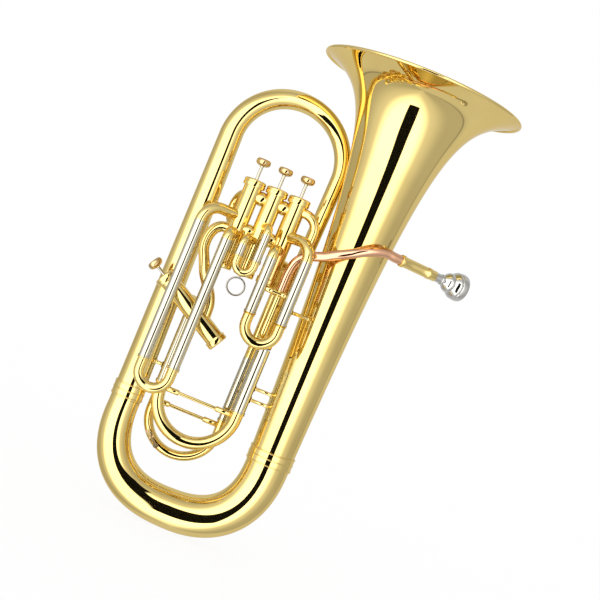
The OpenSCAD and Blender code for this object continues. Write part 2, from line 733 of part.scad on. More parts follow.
receiver_at = [171, -36, 475];
receiver_dir = unit([55, 28, -1]);
inlet = [valve_x + 35.8, valve_y - 3];
lead_leg = inlet + [-12, -14];
lead_joint_z = 368;
crook_z = 310;
lead_path = spline([receiver_at, receiver_at - 10.8 * receiver_dir, [151.4, -45, 476],
    [141.4, -50, 474.2], [131.5, -54, 470.6], [121.7, -56.5, 466.1], [108.1, -57.5, 458.3], [92.6, -55, 450.1], [83, -51.5, 445], [73.3, -47.5, 439.3],
    [63.5, -44.5, 435.5], [53.7, -42.3, 431.6], [43.9, -41.2, 424.8], [lead_leg[0] + 3.1, lead_leg[1], 414],
    [lead_leg[0] + 0.2, lead_leg[1], 398.4], [lead_leg[0], lead_leg[1], 382.7],
    [lead_leg[0], lead_leg[1], lead_joint_z]], 2);
module leadpipe() {
    color(rose_brass) swept_tube(lead_path, [for (p = lead_path) lead_r], lead_wall, [0.2, 1, 0.1], 16);
}

module leadpipe_ferrule() {
    h = 10;
    color(brass) translate([lead_leg[0], lead_leg[1], lead_joint_z - h / 2])
        ferrule(lead_r + 0.05, lead_r + 0.05, h);
}

// Tight crook below the leadpipe, then a sleeved joint and the inlet tube with its elbow into the first valve
inlet_bend = 22;
inlet_z = valve_point(0, valve_len - top_cap_h - lead_r - 0.5)[2];
inlet_joint_z = 402;
module lead_crook() {
    across = inlet - lead_leg;
    to_valve = [valve_at[0][0], valve_at[0][1]] - inlet;
    color(brass) {
        translate([lead_leg[0], lead_leg[1], crook_z]) rotate([0, 0, atan2(across[1], across[0])]) {
            tube(lead_r, lead_wall, lead_joint_z - seat - crook_z);
            mirror([0, 0, 1]) bend(lead_r, lead_wall, norm(across) / 2, 180);
            translate([norm(across), 0, 0]) tube(lead_r, lead_wall, inlet_joint_z - crook_z);
        }
        difference() {
            translate([inlet[0], inlet[1], inlet_joint_z + seat]) pipe(lead_r, lead_wall,
                [[inlet_z - inlet_bend - inlet_joint_z - seat, inlet_bend, atan2(to_valve[1], to_valve[0]), 90],
                [norm(to_valve) - inlet_bend, 0, 0, 0]]);
            casing_space(0);
        }
        translate([inlet[0], inlet[1], inlet_joint_z - 4]) tube(lead_r + seat + ferrule_t, ferrule_t, 8);
    }
}

// Receiver and mouthpiece, drawn along +Z towards the player

shank_r = 6.6;
shank_tip_r = 6.2;
shank_gap = 0.05;
module receiver_frame() {
    translate(receiver_at) along(receiver_dir) children();
}

module mouthpiece_receiver() {
    deep = receiver_len - shank_in - 1;
    wide = receiver_r + 0.6;
    ring = receiver_r + 0.2;
    foot = 4 * seat;
    color(brass) receiver_frame() rotate_extrude() polygon([
        [lead_r - lead_wall, foot], [wide, foot], [wide, 6],
        [receiver_r - 0.4, 7], [receiver_r - 0.4, receiver_len - 14], [ring, receiver_len - 13],
        [ring, receiver_len - 9], [receiver_r - 0.4, receiver_len - 8], [receiver_r - 0.4, receiver_len],
        [shank_r + shank_gap, receiver_len], [shank_tip_r + shank_gap, deep], [lead_r - lead_wall, deep]]);
}

cup_r = 12.8;
throat_r = 3.3;
module mouthpiece() {
    rim = mouth_len - shank_in;
    color(silver) receiver_frame() translate([0, 0, receiver_len]) rotate_extrude() polygon([
        [shank_tip_r, -shank_in],
        [shank_r, 0], [shank_r, rim * 0.21], [shank_r + 0.9, rim * 0.23], [shank_r + 0.9, rim * 0.27],
        [shank_r + 0.2, rim * 0.29], [shank_r + 2.2, rim * 0.34], [mouth_rim_r * 0.6, rim * 0.4],
        [mouth_rim_r * 0.69, rim * 0.47], [mouth_rim_r * 0.71, rim * 0.54], [mouth_rim_r * 0.68, rim * 0.56],
        [mouth_rim_r * 0.82, rim * 0.62], [mouth_rim_r * 0.94, rim * 0.69], [mouth_rim_r * 0.97, rim * 0.74],
        [mouth_rim_r * 0.94, rim * 0.76], [mouth_rim_r * 0.98, rim * 0.79], [mouth_rim_r, rim * 0.86],
        [mouth_rim_r * 0.99, rim * 0.93], [mouth_rim_r * 0.95, rim * 0.98], [mouth_rim_r * 0.88, rim],
        [mouth_rim_r * 0.78, rim * 0.995],
        [cup_r + 0.8, rim * 0.97], [cup_r, rim * 0.92], [cup_r * 0.96, rim * 0.8], [cup_r * 0.82, rim * 0.62],
        [cup_r * 0.5, rim * 0.46], [throat_r, rim * 0.36], [throat_r, rim * 0.2], [shank_tip_r - 1, -shank_in]]);
}

// Braces that tie the tubes to the bell, to the main branch and to each other

brace_foot_r = 5;
brace_foot_h = 1.4;
brace_gap = 0.2;
function flat(v) = [v[0], v[1], 0];
// Level rod from an upright tube to the bell, with a foot at each end
module bell_brace(from, tube_r) {
    reach = [bell_x, 0, from[2]] - from;
    way = unit(reach);
    low = from + (tube_r + brace_gap) * way;
    high = [bell_x, 0, from[2]] - (bell_r(rim_z - from[2]) + brace_gap) * way;
    strut(low, high, rod_r);
    strut(low, low + brace_foot_h * way, brace_foot_r);
    strut(high - brace_foot_h * way, high, brace_foot_r);
}

tuning_brace_z = [232, 215];
slide_brace_z = 350.6;
branch_brace_z = 214;
lead_brace_k = 12;
cross_brace_z = 368;
cross_ends = [10, 7];
module body_braces() {
    branch_at = mix(branch_low, branch_high, (branch_brace_z - branch_low[2]) / branch_len);
    branch_r = mix(bow_small_r, branch_top_r, (branch_brace_z - branch_low[2]) / branch_len);
    leg_at = [tuning_legs[0], tuning_y, branch_brace_z];
    way = unit(leg_at - branch_at);
    lead_at = lead_path[lead_brace_k];
    lead_way = unit(flat(lead_at - [bell_x, 0, 0]));
    near_at = [near_x(0) + slide_r + brace_gap, slide_y, cross_brace_z];
    far_at = [far_x(0) - slide_r - brace_gap, slide_y, cross_brace_z];
    color(brass) {
        for (z = tuning_brace_z) bell_brace([tuning_legs[1], tuning_y, z], tuning_r);
        bell_brace([far_x(0), slide_y, slide_brace_z], slide_r);
        strut(branch_at + (branch_r + brace_gap) * way, leg_at - (tuning_r + brace_gap) * way, rod_r);
        strut([bell_x, 0, lead_at[2]] + (bell_r(rim_z - lead_at[2]) + brace_gap) * lead_way,
            lead_at - (lead_r + brace_gap) * lead_way, rod_r);
        strut(near_at, far_at, rod_r);
        strut(near_at, near_at + [cross_ends[0], 0, 0], rod_r * 1.7);
        strut(far_at - [cross_ends[1], 0, 0], far_at, rod_r * 1.7);
    }
}

bell();
bell_ferrule();
bottom_bow();
branch_ferrule();
main_branch();
top_bow();
descending_branch();
tuning_leg_left();
tuning_leg_right();
tuning_bow();
tuning_brace();
leadpipe();
leadpipe_ferrule();
lead_crook();
mouthpiece_receiver();
mouthpiece();
top_caps();
bottom_caps();
valve_knuckles();
valve_link();
fourth_leg_left();
fourth_leg_right();
fourth_bow();
fourth_brace();
compensating_loops();
pull_ring();
body_braces();
water_key_lever();
water_key_saddle();
for (i = [0:3]) {
    valve_casing(i);
    piston(i);
    stem(i);
    finger_button(i);
    felt_washer(i);
    valve_spring(i);
}
for (i = [0:2]) {
    slide_legs(i);
    slide_bow(i);
}
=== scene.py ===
import math

import bpy
import bmesh
import numpy as np
from mathutils import Matrix, Vector


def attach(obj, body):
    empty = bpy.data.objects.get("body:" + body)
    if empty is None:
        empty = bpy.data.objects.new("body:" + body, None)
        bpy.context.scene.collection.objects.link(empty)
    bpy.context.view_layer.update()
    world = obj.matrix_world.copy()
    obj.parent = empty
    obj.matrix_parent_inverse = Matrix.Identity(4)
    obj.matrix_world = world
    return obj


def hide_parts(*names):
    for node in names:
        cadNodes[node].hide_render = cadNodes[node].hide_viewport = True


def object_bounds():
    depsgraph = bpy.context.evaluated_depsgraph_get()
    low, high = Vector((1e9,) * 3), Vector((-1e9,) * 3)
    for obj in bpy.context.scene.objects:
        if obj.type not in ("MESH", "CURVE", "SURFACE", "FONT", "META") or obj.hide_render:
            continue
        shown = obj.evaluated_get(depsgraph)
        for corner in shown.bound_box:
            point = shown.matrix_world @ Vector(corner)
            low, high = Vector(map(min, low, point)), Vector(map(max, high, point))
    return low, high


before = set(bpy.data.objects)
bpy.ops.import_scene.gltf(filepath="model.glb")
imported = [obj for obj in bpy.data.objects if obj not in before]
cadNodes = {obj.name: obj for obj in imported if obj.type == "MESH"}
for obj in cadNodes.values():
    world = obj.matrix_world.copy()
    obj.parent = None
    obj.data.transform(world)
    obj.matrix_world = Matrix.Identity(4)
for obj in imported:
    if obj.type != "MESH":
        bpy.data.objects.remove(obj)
cadLow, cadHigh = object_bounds()
scene = bpy.context.scene
scene.view_settings.view_transform = "Standard"
print("frame loaded:", len(cadNodes), "nodes")

# all shapes below are worked out in millimetres and put into the meshes in metres
metre = 0.001
up = np.array([0.0, 0.0, 1.0])


# vectors over their lengths
def unitOf(v):
    v = np.asarray(v, float)
    return v / np.linalg.norm(v, axis=-1, keepdims=True)


# straight blend from a to b
def mix(a, b, t):
    return a + (b - a) * t


# smooth curve through every point: each stretch is the cubic whose ends slope as the chords beside them
def curveThrough(points, steps):
    p = np.asarray(points, float)
    p = np.vstack([2 * p[:1] - p[1:2], p, 2 * p[-1:] - p[-2:-1]])
    a, b, c, d = (p[i:len(p) - 3 + i, None] for i in range(4))
    t = (np.arange(steps) / steps)[None, :, None]
    square, cube = 2 * a - 5 * b + 4 * c - d, 3 * b - a - 3 * c + d
    body = 0.5 * (2 * b + (c - a) * t + square * t ** 2 + cube * t ** 3)
    return np.vstack([body.reshape(-1, p.shape[1]), p[-2:-1]])


# directions along a path: chord from the point before to the point after
def slopes(path):
    return unitOf(np.gradient(path, axis=0))


# circles of the given radii carried along a path, square to it; side is any direction the path never takes
def ringsAlong(path, along, radii, side, sides):
    a = unitOf(np.cross(side, along))
    b = np.cross(along, a)
    turn = np.linspace(0, 2 * math.pi, sides, endpoint=False)[None, :, None]
    r = np.asarray(radii, float)[:, None, None]
    return path[:, None] + r * (np.cos(turn) * a[:, None] + np.sin(turn) * b[:, None])


# quads of a grid whose columns close on themselves; wrap also joins the last row to the first
def gridQuads(rows, cols, wrap):
    i = np.arange(rows if wrap else rows - 1)[:, None]
    k = np.arange(cols)[None, :]
    j, m = (i + 1) % rows, (k + 1) % cols
    return np.stack([i * cols + k, i * cols + m, j * cols + m, j * cols + k], -1).reshape(-1, 4)


# tube with a wall: the outer rings from start to end, then the inner rings back, closed into one skin
def hollowShell(path, along, outer, inner, side, sides=56):
    outside = ringsAlong(path, along, outer, side, sides)
    inside = ringsAlong(path, along, inner, side, sides)[::-1]
    grid = np.concatenate([outside, inside])
    return grid.reshape(-1, 3), gridQuads(len(grid), sides, True)


# outline (radius, height) turned round an axis: a closed outline makes a ring, and an open one starts
# and ends at radius 0
def turned(outline, at, direction=up, sides=72, closed=True):
    p = np.asarray(outline, float)
    d = unitOf(direction)
    side = np.array([1.0, 0, 0]) if abs(d[0]) < 0.9 else np.array([0, 1.0, 0])
    a = unitOf(np.cross(side, d))
    b = np.cross(d, a)
    turn = np.linspace(0, 2 * math.pi, sides, endpoint=False)[None, :, None]
    spoke = np.cos(turn) * a + np.sin(turn) * b
    grid = np.asarray(at, float) + p[:, None, :1] * spoke + p[:, None, 1:] * d
    return grid.reshape(-1, 3), gridQuads(len(grid), sides, closed)


# straight runs and bends laid end to end: each run is (length, bend radius, heading, angle), the heading
# counted round the tube from the plane of the bend before; gives points, directions and distances
def laidPath(start, ahead, across, runs, fine=3.0, row=12.0):
    p, t, x = (np.asarray(v, float) for v in (start, unitOf(ahead), unitOf(across)))
    points, ways = [p], [t]
    for length, radius, heading, angle in runs:
        h = math.radians(heading)
        x = math.cos(h) * x + math.sin(h) * np.cross(t, x)
        if length > 0:
            cuts = np.linspace(0, length, max(2, int(length / row) + 2))[1:, None]
            points += list(p + cuts * t)
            ways += [t] * len(cuts)
            p = p + length * t
        if radius > 0:
            w = np.radians(np.linspace(0, angle, int(abs(angle) / fine) + 2))[1:, None]
            points += list(p + radius * ((1 - np.cos(w)) * x + np.sin(w) * t))
            ways += list(np.cos(w) * t + np.sin(w) * x)
            p = points[-1]
            x, t = math.cos(w[-1, 0]) * x - math.sin(w[-1, 0]) * t, ways[-1]
    points, ways = np.array(points), np.array(ways)
    walked = np.concatenate([[0], np.cumsum(np.linalg.norm(np.diff(points, axis=0), axis=1))])
    return points, ways, walked


# the same path with rows added at given distances, so that a radius can step there
def withRows(points, ways, walked, marks):
    s = np.sort(np.concatenate([walked, marks]))
    p = np.stack([np.interp(s, walked, points[:, k]) for k in range(3)], 1)
    w = np.stack([np.interp(s, walked, ways[:, k]) for k in range(3)], 1)
    return p, unitOf(w), s


softEdge = math.radians(50)  # flatter edges are shaded smooth
weldGap = 1e-7  # metres


# joins parts, each of points and quads, into one mesh with its faces outwards, and puts it on its body
def meshPiece(name, parts, finish, body, nodes, weld=False):
    verts = np.vstack([v for v, _ in parts]) * metre
    shift = np.cumsum([0] + [len(v) for v, _ in parts[:-1]])
    quads = np.vstack([f + s for (_, f), s in zip(parts, shift)])
    mesh = bpy.data.meshes.new(name)
    mesh.vertices.add(len(verts))
    mesh.vertices.foreach_set("co", verts.ravel())
    mesh.loops.add(quads.size)
    mesh.loops.foreach_set("vertex_index", quads.ravel())
    mesh.polygons.add(len(quads))
    mesh.polygons.foreach_set("loop_start", np.arange(0, quads.size, 4))
    mesh.update(calc_edges=True)
    bm = bmesh.new()
    bm.from_mesh(mesh)
    if weld:
        bmesh.ops.remove_doubles(bm, verts=bm.verts, dist=weldGap)
    bmesh.ops.recalc_face_normals(bm, faces=bm.faces)
    bm.to_mesh(mesh)
    bm.free()
    mesh.shade_smooth()
    mesh.set_sharp_from_angle(angle=softEdge)
    piece = bpy.data.objects.new(name, mesh)
    scene.collection.objects.link(piece)
    mesh.materials.append(finish)
    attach(piece, body)
    if nodes:
        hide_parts(*nodes)
    return piece


# shader sockets as Python values
class Sock:
    def __init__(self, tree, out):
        self.tree = tree
        self.out = out

    # another output of the same node
    def beside(self, key):
        return Sock(self.tree, self.out.node.outputs[key])

    def math(self, operation, *others):
        return self.tree.add("ShaderNodeMath", {"operation": operation},
                             {0: self, **{i + 1: o for i, o in enumerate(others)}})

    def __add__(self, o):
        return self.math("ADD", o)

    def __sub__(self, o):
        return self.math("SUBTRACT", o)

    def __mul__(self, o):
        return self.math("MULTIPLY", o)

    def __truediv__(self, o):
        return self.math("DIVIDE", o)

    def __neg__(self):
        return self.math("MULTIPLY", -1.0)

    def __abs__(self):
        return self.math("ABSOLUTE")

    def __rsub__(self, o):
        return self.math("MULTIPLY", -1.0).math("ADD", o)

    __radd__ = __add__
    __rmul__ = __mul__


class Tree:
    def __init__(self, owner):
        owner.use_nodes = True
        self.nodes = owner.node_tree.nodes
        self.links = owner.node_tree.links
        self.nodes.clear()

    # one node: its settings first, then the values or links of its sockets; gives back one output
    def add(self, kind, settings=None, sockets=None, output=0):
        node = self.nodes.new(kind)
        for key, value in (settings or {}).items():
            if key == "stops":
                ramp = node.color_ramp
                while len(ramp.elements) < len(value):
                    ramp.elements.new(0.5)
                for stop, (place, tone) in zip(ramp.elements, value):
                    stop.position = place
                    stop.color = tone if len(tone) == 4 else (*tone, 1)
            else:
                setattr(node, key, value)
        for key, value in (sockets or {}).items():
            if isinstance(value, Sock):
                self.links.new(value.out, node.inputs[key])
            else:
                node.inputs[key].default_value = value
        return Sock(self, node.outputs[output]) if node.outputs else node

    # s-shaped step between two values
    def smooth(self, value, low, high, first=0.0, last=1.0):
        return self.add("ShaderNodeMapRange", {"interpolation_type": "SMOOTHSTEP"},
                        {"Value": value, "From Min": low, "From Max": high, "To Min": first,
                         "To Max": last})

    def blendColour(self, share, first, last):
        return self.add("ShaderNodeMix", {"data_type": "RGBA"}, {0: share, 6: first, 7: last}, 2)


# polished metal under lacquer: slow drifts of tone, a haze of fine buffing marks, faint specks of dust
def polishedMetal(name, look):
    material = bpy.data.materials.new(name)
    tree = Tree(material)
    place = tree.add("ShaderNodeTexCoord", output="Object")
    drift = tree.add("ShaderNodeTexNoise", {"noise_dimensions": "3D"},
                     {"Vector": place, "Scale": look["drift"], "Detail": 3.0, "Roughness": 0.5})
    stretched = tree.add("ShaderNodeMapping", {"vector_type": "POINT"},
                         {"Vector": place, "Scale": look["buffing"]})
    marks = tree.add("ShaderNodeTexNoise", {},
                     {"Vector": stretched, "Scale": 1.0, "Detail": 4.0, "Roughness": 0.6})
    specks = tree.add("ShaderNodeTexVoronoi", {"feature": "F1"},
                      {"Vector": place, "Scale": look["specks"]})
    haze = tree.smooth(marks, *look["hazeEdge"])
    dust = 1 - tree.smooth(specks, *look["speckEdge"])
    tone = tree.smooth(drift, *look["toneEdge"])
    colour = tree.blendColour(tone, (*look["deep"], 1), (*look["pale"], 1))
    rough = look["rough"] + haze * look["haze"] + dust * look["dust"]
    relief = marks * 0.7 + drift * 0.3
    bump = tree.add("ShaderNodeBump", {},
                    {"Strength": look["relief"], "Distance": look["depth"], "Height": relief})
    shader = tree.add("ShaderNodeBsdfPrincipled", {}, {
        "Base Color": colour, "Metallic": 1.0, "Roughness": rough, "Normal": bump,
        "Specular Tint": (*look["edge"], 1),
        "Coat Weight": look["coat"], "Coat Roughness": 0.03, "Coat IOR": 1.5})
    tree.add("ShaderNodeOutputMaterial", {}, {"Surface": shader})
    return material


brassLook = {"pale": (0.85, 0.66, 0.25), "deep": (0.77, 0.58, 0.20), "edge": (0.92, 0.8, 0.5),
             "drift": 9.0, "toneEdge": (0.3, 0.7), "buffing": (260.0, 260.0, 40.0),
             "hazeEdge": (0.45, 0.75), "specks": 420.0, "speckEdge": (0.05, 0.12), "rough": 0.025,
             "haze": 0.025, "dust": 0.04, "relief": 0.03, "depth": 0.00002, "coat": 0.35}
roseLook = {**brassLook, "pale": (0.84, 0.50, 0.31), "deep": (0.76, 0.42, 0.25), "edge": (0.9, 0.62, 0.42)}
nickelLook = {**brassLook, "pale": (0.61, 0.575, 0.455), "deep": (0.54, 0.495, 0.38),
              "edge": (0.8, 0.78, 0.7)}
silverLook = {**brassLook, "pale": (0.62, 0.61, 0.575), "deep": (0.52, 0.51, 0.485), "edge": (1, 1, 1),
              "coat": 0.0, "rough": 0.09}
steelLook = {**brassLook, "pale": (0.66, 0.67, 0.69), "deep": (0.55, 0.56, 0.58), "edge": (0.9, 0.9, 0.9),
             "coat": 0.0, "rough": 0.25}
# finger buttons and water key: brass mottled by wear, and a darker overall tone that is painted shade,
# standing in for the dimmer room the buttons mirror
wornAndShadedLook = {**brassLook, "pale": (0.72, 0.52, 0.24), "deep": (0.5, 0.34, 0.15), "drift": 250.0,
            "rough": 0.12}
ringLook = {**nickelLook, "pale": (0.42, 0.39, 0.33), "deep": (0.34, 0.31, 0.26), "rough": 0.15}
lacquerBrass = polishedMetal("lacquerBrass", brassLook)
roseBrass = polishedMetal("roseBrass", roseLook)
nickelSilver = polishedMetal("nickelSilver", nickelLook)
silverPlate = polishedMetal("silverPlate", silverLook)
springSteel = polishedMetal("springSteel", steelLook)
wornAndShadedBrass = polishedMetal("wornAndShadedBrass", wornAndShadedLook)
ringNickel = polishedMetal("ringNickel", ringLook)


# pressed wool: clumped fibres in colour and height
def feltCloth(name, look):
    material = bpy.data.materials.new(name)
    tree = Tree(material)
    place = tree.add("ShaderNodeTexCoord", output="Object")
    fibres = tree.add("ShaderNodeTexNoise", {},
                      {"Vector": place, "Scale": look["fibre"], "Detail": 6.0, "Roughness": 0.7})
    tone = tree.smooth(fibres, *look["toneEdge"])
    colour = tree.blendColour(tone, (*look["deep"], 1), (*look["pale"], 1))
    bump = tree.add("ShaderNodeBump", {},
                    {"Strength": look["relief"], "Distance": look["depth"], "Height": fibres})
    shader = tree.add("ShaderNodeBsdfPrincipled", {},
                      {"Base Color": colour, "Roughness": look["rough"], "Normal": bump})
    tree.add("ShaderNodeOutputMaterial", {}, {"Surface": shader})
    return material


feltLook = {"pale": (0.46, 0.13, 0.12), "deep": (0.30, 0.07, 0.07), "toneEdge": (0.3, 0.7), "fibre": 900.0,
            "relief": 0.5, "depth": 0.0003, "rough": 0.95}
washerFelt = feltCloth("washerFelt", feltLook)
print("finishes made")

# bell
bell = {"x": 110.5, "rim": 146.0, "tail": 31.5, "length": 561.0, "flare": 0.37, "mouth": 16.5, "wall": 0.8,
        "bead": 2.4, "beadAt": (-0.4, 0.2), "beadGap": 0.1, "beadRows": 28, "rows": 150, "crowd": 2.2,
        "sides": 224}
bow = {"small": 21.5, "tail": 31.5, "half": 110.5, "drop": 112.0, "square": 2.45, "straight": 9.0,
       "rows": 128, "sides": 96}
bowTop = bow["drop"] + mix(bow["small"], bow["tail"], math.sin(math.pi / 4))
jointZ = bowTop + bow["straight"]
rimZ = jointZ + bell["length"]


# radius at a distance below the rim: a power of that distance, pinned at the rim and at the tail
def bellRadius(d):
    def horn(x):
        return ((x + bell["mouth"]) / bell["mouth"]) ** -bell["flare"]
    end = horn(bell["length"])
    return bell["tail"] + (bell["rim"] - bell["tail"]) * (horn(d) - end) / (1 - end)


# outside from the tail up to the bead, round the bead and back down the inside, turned round the axis
def makeBell():
    d = bell["length"] * np.linspace(0, 1, bell["rows"]) ** bell["crowd"]
    r = bellRadius(d)
    step = 0.1
    slope = (bellRadius(d + step) - r) / step
    inward = unitOf(np.stack([-np.ones_like(slope), -slope], 1))
    outside = np.stack([r, -d], 1)
    inside = outside + bell["wall"] * inward
    bead = np.array([bell["rim"], 0]) + bell["beadAt"]
    clear = bell["bead"] + bell["beadGap"]
    outside = outside[np.linalg.norm(outside - bead, axis=1) > clear][::-1]
    inside = inside[np.linalg.norm(inside - bead, axis=1) > clear]
    first = math.atan2(*(outside[-1] - bead)[::-1])
    turn = (math.atan2(*(inside[0] - bead)[::-1]) - first) % (2 * math.pi)
    a = first + turn * np.linspace(0, 1, bell["beadRows"])
    roll = bead + bell["bead"] * np.stack([np.cos(a), np.sin(a)], 1)
    outline = np.vstack([outside, roll, inside])
    parts = [turned(outline, (bell["x"], 0, rimZ), up, bell["sides"])]
    meshPiece("bellFlare", parts, lacquerBrass, "body", ["bell"])


makeBell()

# soldered sleeves: a cone with beads rolled into it, each a half circle that stands out of the cone
ferrule = {"height": 21.0, "thick": 1.2, "gap": 0.05, "seat": (0.15, 0.1), "beads": (0.08, 0.5, 0.92),
           "bead": 0.7, "bevel": 0.3, "rows": 160}


def ferruleOutline(low, high, h, beads=ferrule["beads"]):
    t = np.linspace(0, 1, ferrule["rows"])
    skin = mix(low, high, t) + ferrule["thick"]
    size = ferrule["thick"] * ferrule["bead"]
    for at in beads:
        rise = np.sqrt(np.maximum(size ** 2 - ((t - at) * h) ** 2, 0))
        skin = np.maximum(skin, mix(low, high, at) + ferrule["thick"] + rise)
    skin[[0, -1]] -= ferrule["bevel"]
    gap = ferrule["gap"]
    return np.vstack([np.stack([skin, t * h], 1), [[high + gap, h], [low + gap, 0]]])


def makeBellFerrule():
    h, (lowSeat, highSeat) = ferrule["height"], ferrule["seat"]
    outline = ferruleOutline(bell["tail"] + lowSeat, bellRadius(bell["length"] - h / 2) + highSeat, h)
    parts = [turned(outline, (bell["x"], 0, jointZ - h / 2), up, 128)]
    meshPiece("bellSleeve", parts, lacquerBrass, "body", ["bell_ferrule"])


makeBellFerrule()


# bottom bow: a squared half ellipse, its radius growing with the sine of the way round
def makeBottomBow():
    w = np.linspace(math.pi, 2 * math.pi, bow["rows"])
    n = bow["square"]
    reach = ((np.abs(np.cos(w)) / bow["half"]) ** n + (np.abs(np.sin(w)) / bow["drop"]) ** n) ** (-1 / n)
    path = np.stack([reach * np.cos(w), 0 * w, bowTop + reach * np.sin(w)], 1)
    path = np.vstack([[-bow["half"], 0, jointZ], path, [bow["half"], 0, jointZ]])
    t = np.concatenate([[0], (w - math.pi) / math.pi, [1]])
    r = mix(bow["small"], bow["tail"], np.sin(t * math.pi / 2))
    parts = [hollowShell(path, slopes(path), r, r - bell["wall"], (0, 1, 0), bow["sides"])]
    meshPiece("bottomBow", parts, lacquerBrass, "body", ["bottom_bow"])


makeBottomBow()

# main branch, top bow and descending branch
branch = {"length": 401.0, "top": 16.7, "lean": 5.0, "topBow": 82.0, "small": 11.5, "depth": 29.0,
          "stub": 3.0, "seam": 0.05, "taper": 0.8, "rows": 96}
tuning = {"x": 43.3, "span": 113.5, "y": -12.0, "z": 192.0, "r": 9.7, "drop": 9.0, "inside": 85.0,
          "rise": 98.0, "bend": 12.0, "portRun": 6.0, "topGap": 2.0, "rodEnds": (18, 22)}
branchStart = jointZ + branch["seam"] + bow["small"] * branch["lean"] / branch["length"]
branchLow = np.array([-bow["half"], 0, branchStart])
branchHigh = np.array([-bow["half"] - branch["lean"], 0, jointZ + branch["length"]])
branchWay = unitOf(branchHigh - branchLow)
smallEnd = np.array([branchHigh[0] + 2 * branch["topBow"], branch["depth"], branchHigh[2]])
tuningEnd = np.array([tuning["x"], tuning["y"], tuning["z"] + tuning["rise"]])
fallWay = unitOf(tuningEnd - smallEnd)


# plain or tapering straight tube from one point to another
def straightTube(low, high, r1, r2, wall, sides=64):
    h = np.linalg.norm(np.asarray(high) - low)
    z = np.linspace(0, h, 12)
    r = mix(r1, r2, z / h)
    outline = np.vstack([np.stack([r, z], 1), np.stack([r - wall, z], 1)[::-1]])
    return turned(outline, low, np.asarray(high) - low, sides)


# the top bow is a half circle that leans back on its way over, its radius falling with a power of the way
def makeBranches():
    stub, seam = branch["stub"], branch["seam"]
    tube = straightTube(branchLow, branchHigh - (stub + seam) * branchWay, bow["small"], branch["top"],
                        bell["wall"], 96)
    meshPiece("mainBranch", [tube], lacquerBrass, "body", ["main_branch"])
    slope = (bow["small"] - branch["top"]) / branch["length"]
    h = ferrule["height"]
    outline = ferruleOutline(bow["small"] + seam, bow["small"] - slope * h + seam, h)
    sleeve = turned(outline, branchLow + branchWay, branchWay, 112)
    meshPiece("branchSleeve", [sleeve], lacquerBrass, "body", ["branch_ferrule"])
    w = np.linspace(math.pi, 0, branch["rows"])
    lean = (smallEnd[1] - tuningEnd[1]) / (smallEnd[2] - tuningEnd[2])
    share = (1 + np.cos(w)) / 2
    r = branch["topBow"]
    path = np.stack([branchHigh[0] + r + r * np.cos(w), share * (branch["depth"] + lean * r * np.sin(w)),
                     branchHigh[2] + r * np.sin(w)], 1)
    path = np.vstack([branchHigh - stub * branchWay, path, smallEnd + stub * fallWay])
    size = mix(branch["top"], branch["small"], np.linspace(0, 1, branch["rows"]) ** branch["taper"])
    size = np.concatenate([size[:1], size, size[-1:]])
    tube = hollowShell(path, slopes(path), size, size - bell["wall"], (0, 1, 0), 80)
    meshPiece("topBow", [tube], lacquerBrass, "body", ["top_bow"])
    tube = straightTube(smallEnd + (stub + seam) * fallWay, tuningEnd, branch["small"], tuning["r"],
                        bell["wall"], 72)
    meshPiece("descendingBranch", [tube], lacquerBrass, "body", ["descending_branch"])


makeBranches()
print("bell and bows made")

# slide tubes
slideTube = {"wall": 0.6, "gap": 0.05, "ringHigh": 2.4, "ringOut": 0.9, "step": 0.5, "soft": 0.3}


# a ring round the start of a sleeve: rows at its edges, and the extra radius there
def ringedLeg(start, ahead, across, runs, r, side=(0, 1, 0), sides=56, ring=True):
    points, ways, walked = laidPath(start, ahead, across, runs)
    h, soft, out = slideTube["ringHigh"], slideTube["soft"], slideTube["ringOut"]
    extra = np.zeros(len(walked))
    if ring:
        points, ways, walked = withRows(points, ways, walked, [soft, h - soft, h, h])
        extra = np.interp(walked, [0, soft, h - soft, h],
                          [out - soft, out, out, out - soft]) * (walked <= h)
        extra[np.flatnonzero(walked == h)[-1]] = 0
    outer = r + extra
    inner = np.full(len(walked), r - slideTube["wall"])
    return hollowShell(points, ways, outer, inner, side, sides)


def legRadius(r):
    return r - slideTube["wall"] - slideTube["gap"]


# bow of a slide: inner leg, shoulder ring, tube, half circle and the same again
def slideBow(x, y, low, drop, r, inside, sides=56):
    bowLow = low - drop
    half = (x[1] - x[0]) / 2
    leg = inside + drop
    points, ways, walked = laidPath((x[0], y, low + inside), (0, 0, -1), (1, 0, 0),
                                    [(leg, half, 0, 180), (leg, 0, 0, 0)], 2.5)
    total = walked[-1]
    h, soft = slideTube["ringHigh"], slideTube["soft"]
    ringStart = inside + slideTube["gap"]
    ringOut = r + slideTube["ringOut"]
    tubeR = r - slideTube["step"]
    marks = np.array([ringStart, ringStart, ringStart + soft, ringStart + h - soft, ringStart + h,
                      ringStart + h])
    sizes = np.array([legRadius(r), ringOut - soft, ringOut, ringOut, ringOut - soft, tubeR])
    points, ways, walked = withRows(points, ways, walked, np.concatenate([marks, total - marks]))
    outer = np.full(len(walked), tubeR)
    outer[walked < ringStart] = legRadius(r)
    outer[walked > total - ringStart] = legRadius(r)
    for k, s in enumerate(marks):
        near = np.flatnonzero(np.isclose(walked, s, atol=1e-9))
        far = np.flatnonzero(np.isclose(walked, total - s, atol=1e-9))
        same = np.flatnonzero(marks == s)
        outer[near[list(same).index(k)]] = sizes[k]
        outer[far[::-1][list(same).index(k)]] = sizes[k]
    bore = legRadius(r) - slideTube["wall"]
    return hollowShell(points, ways, outer, np.full(len(walked), bore), (0, 1, 0), sides)


# rod with thicker ends, drawn as one turned outline that starts and ends at radius 0
rod = {"r": 2.5, "end": 1.6, "soft": 0.5, "sink": 0.3, "ringGap": 0.15}


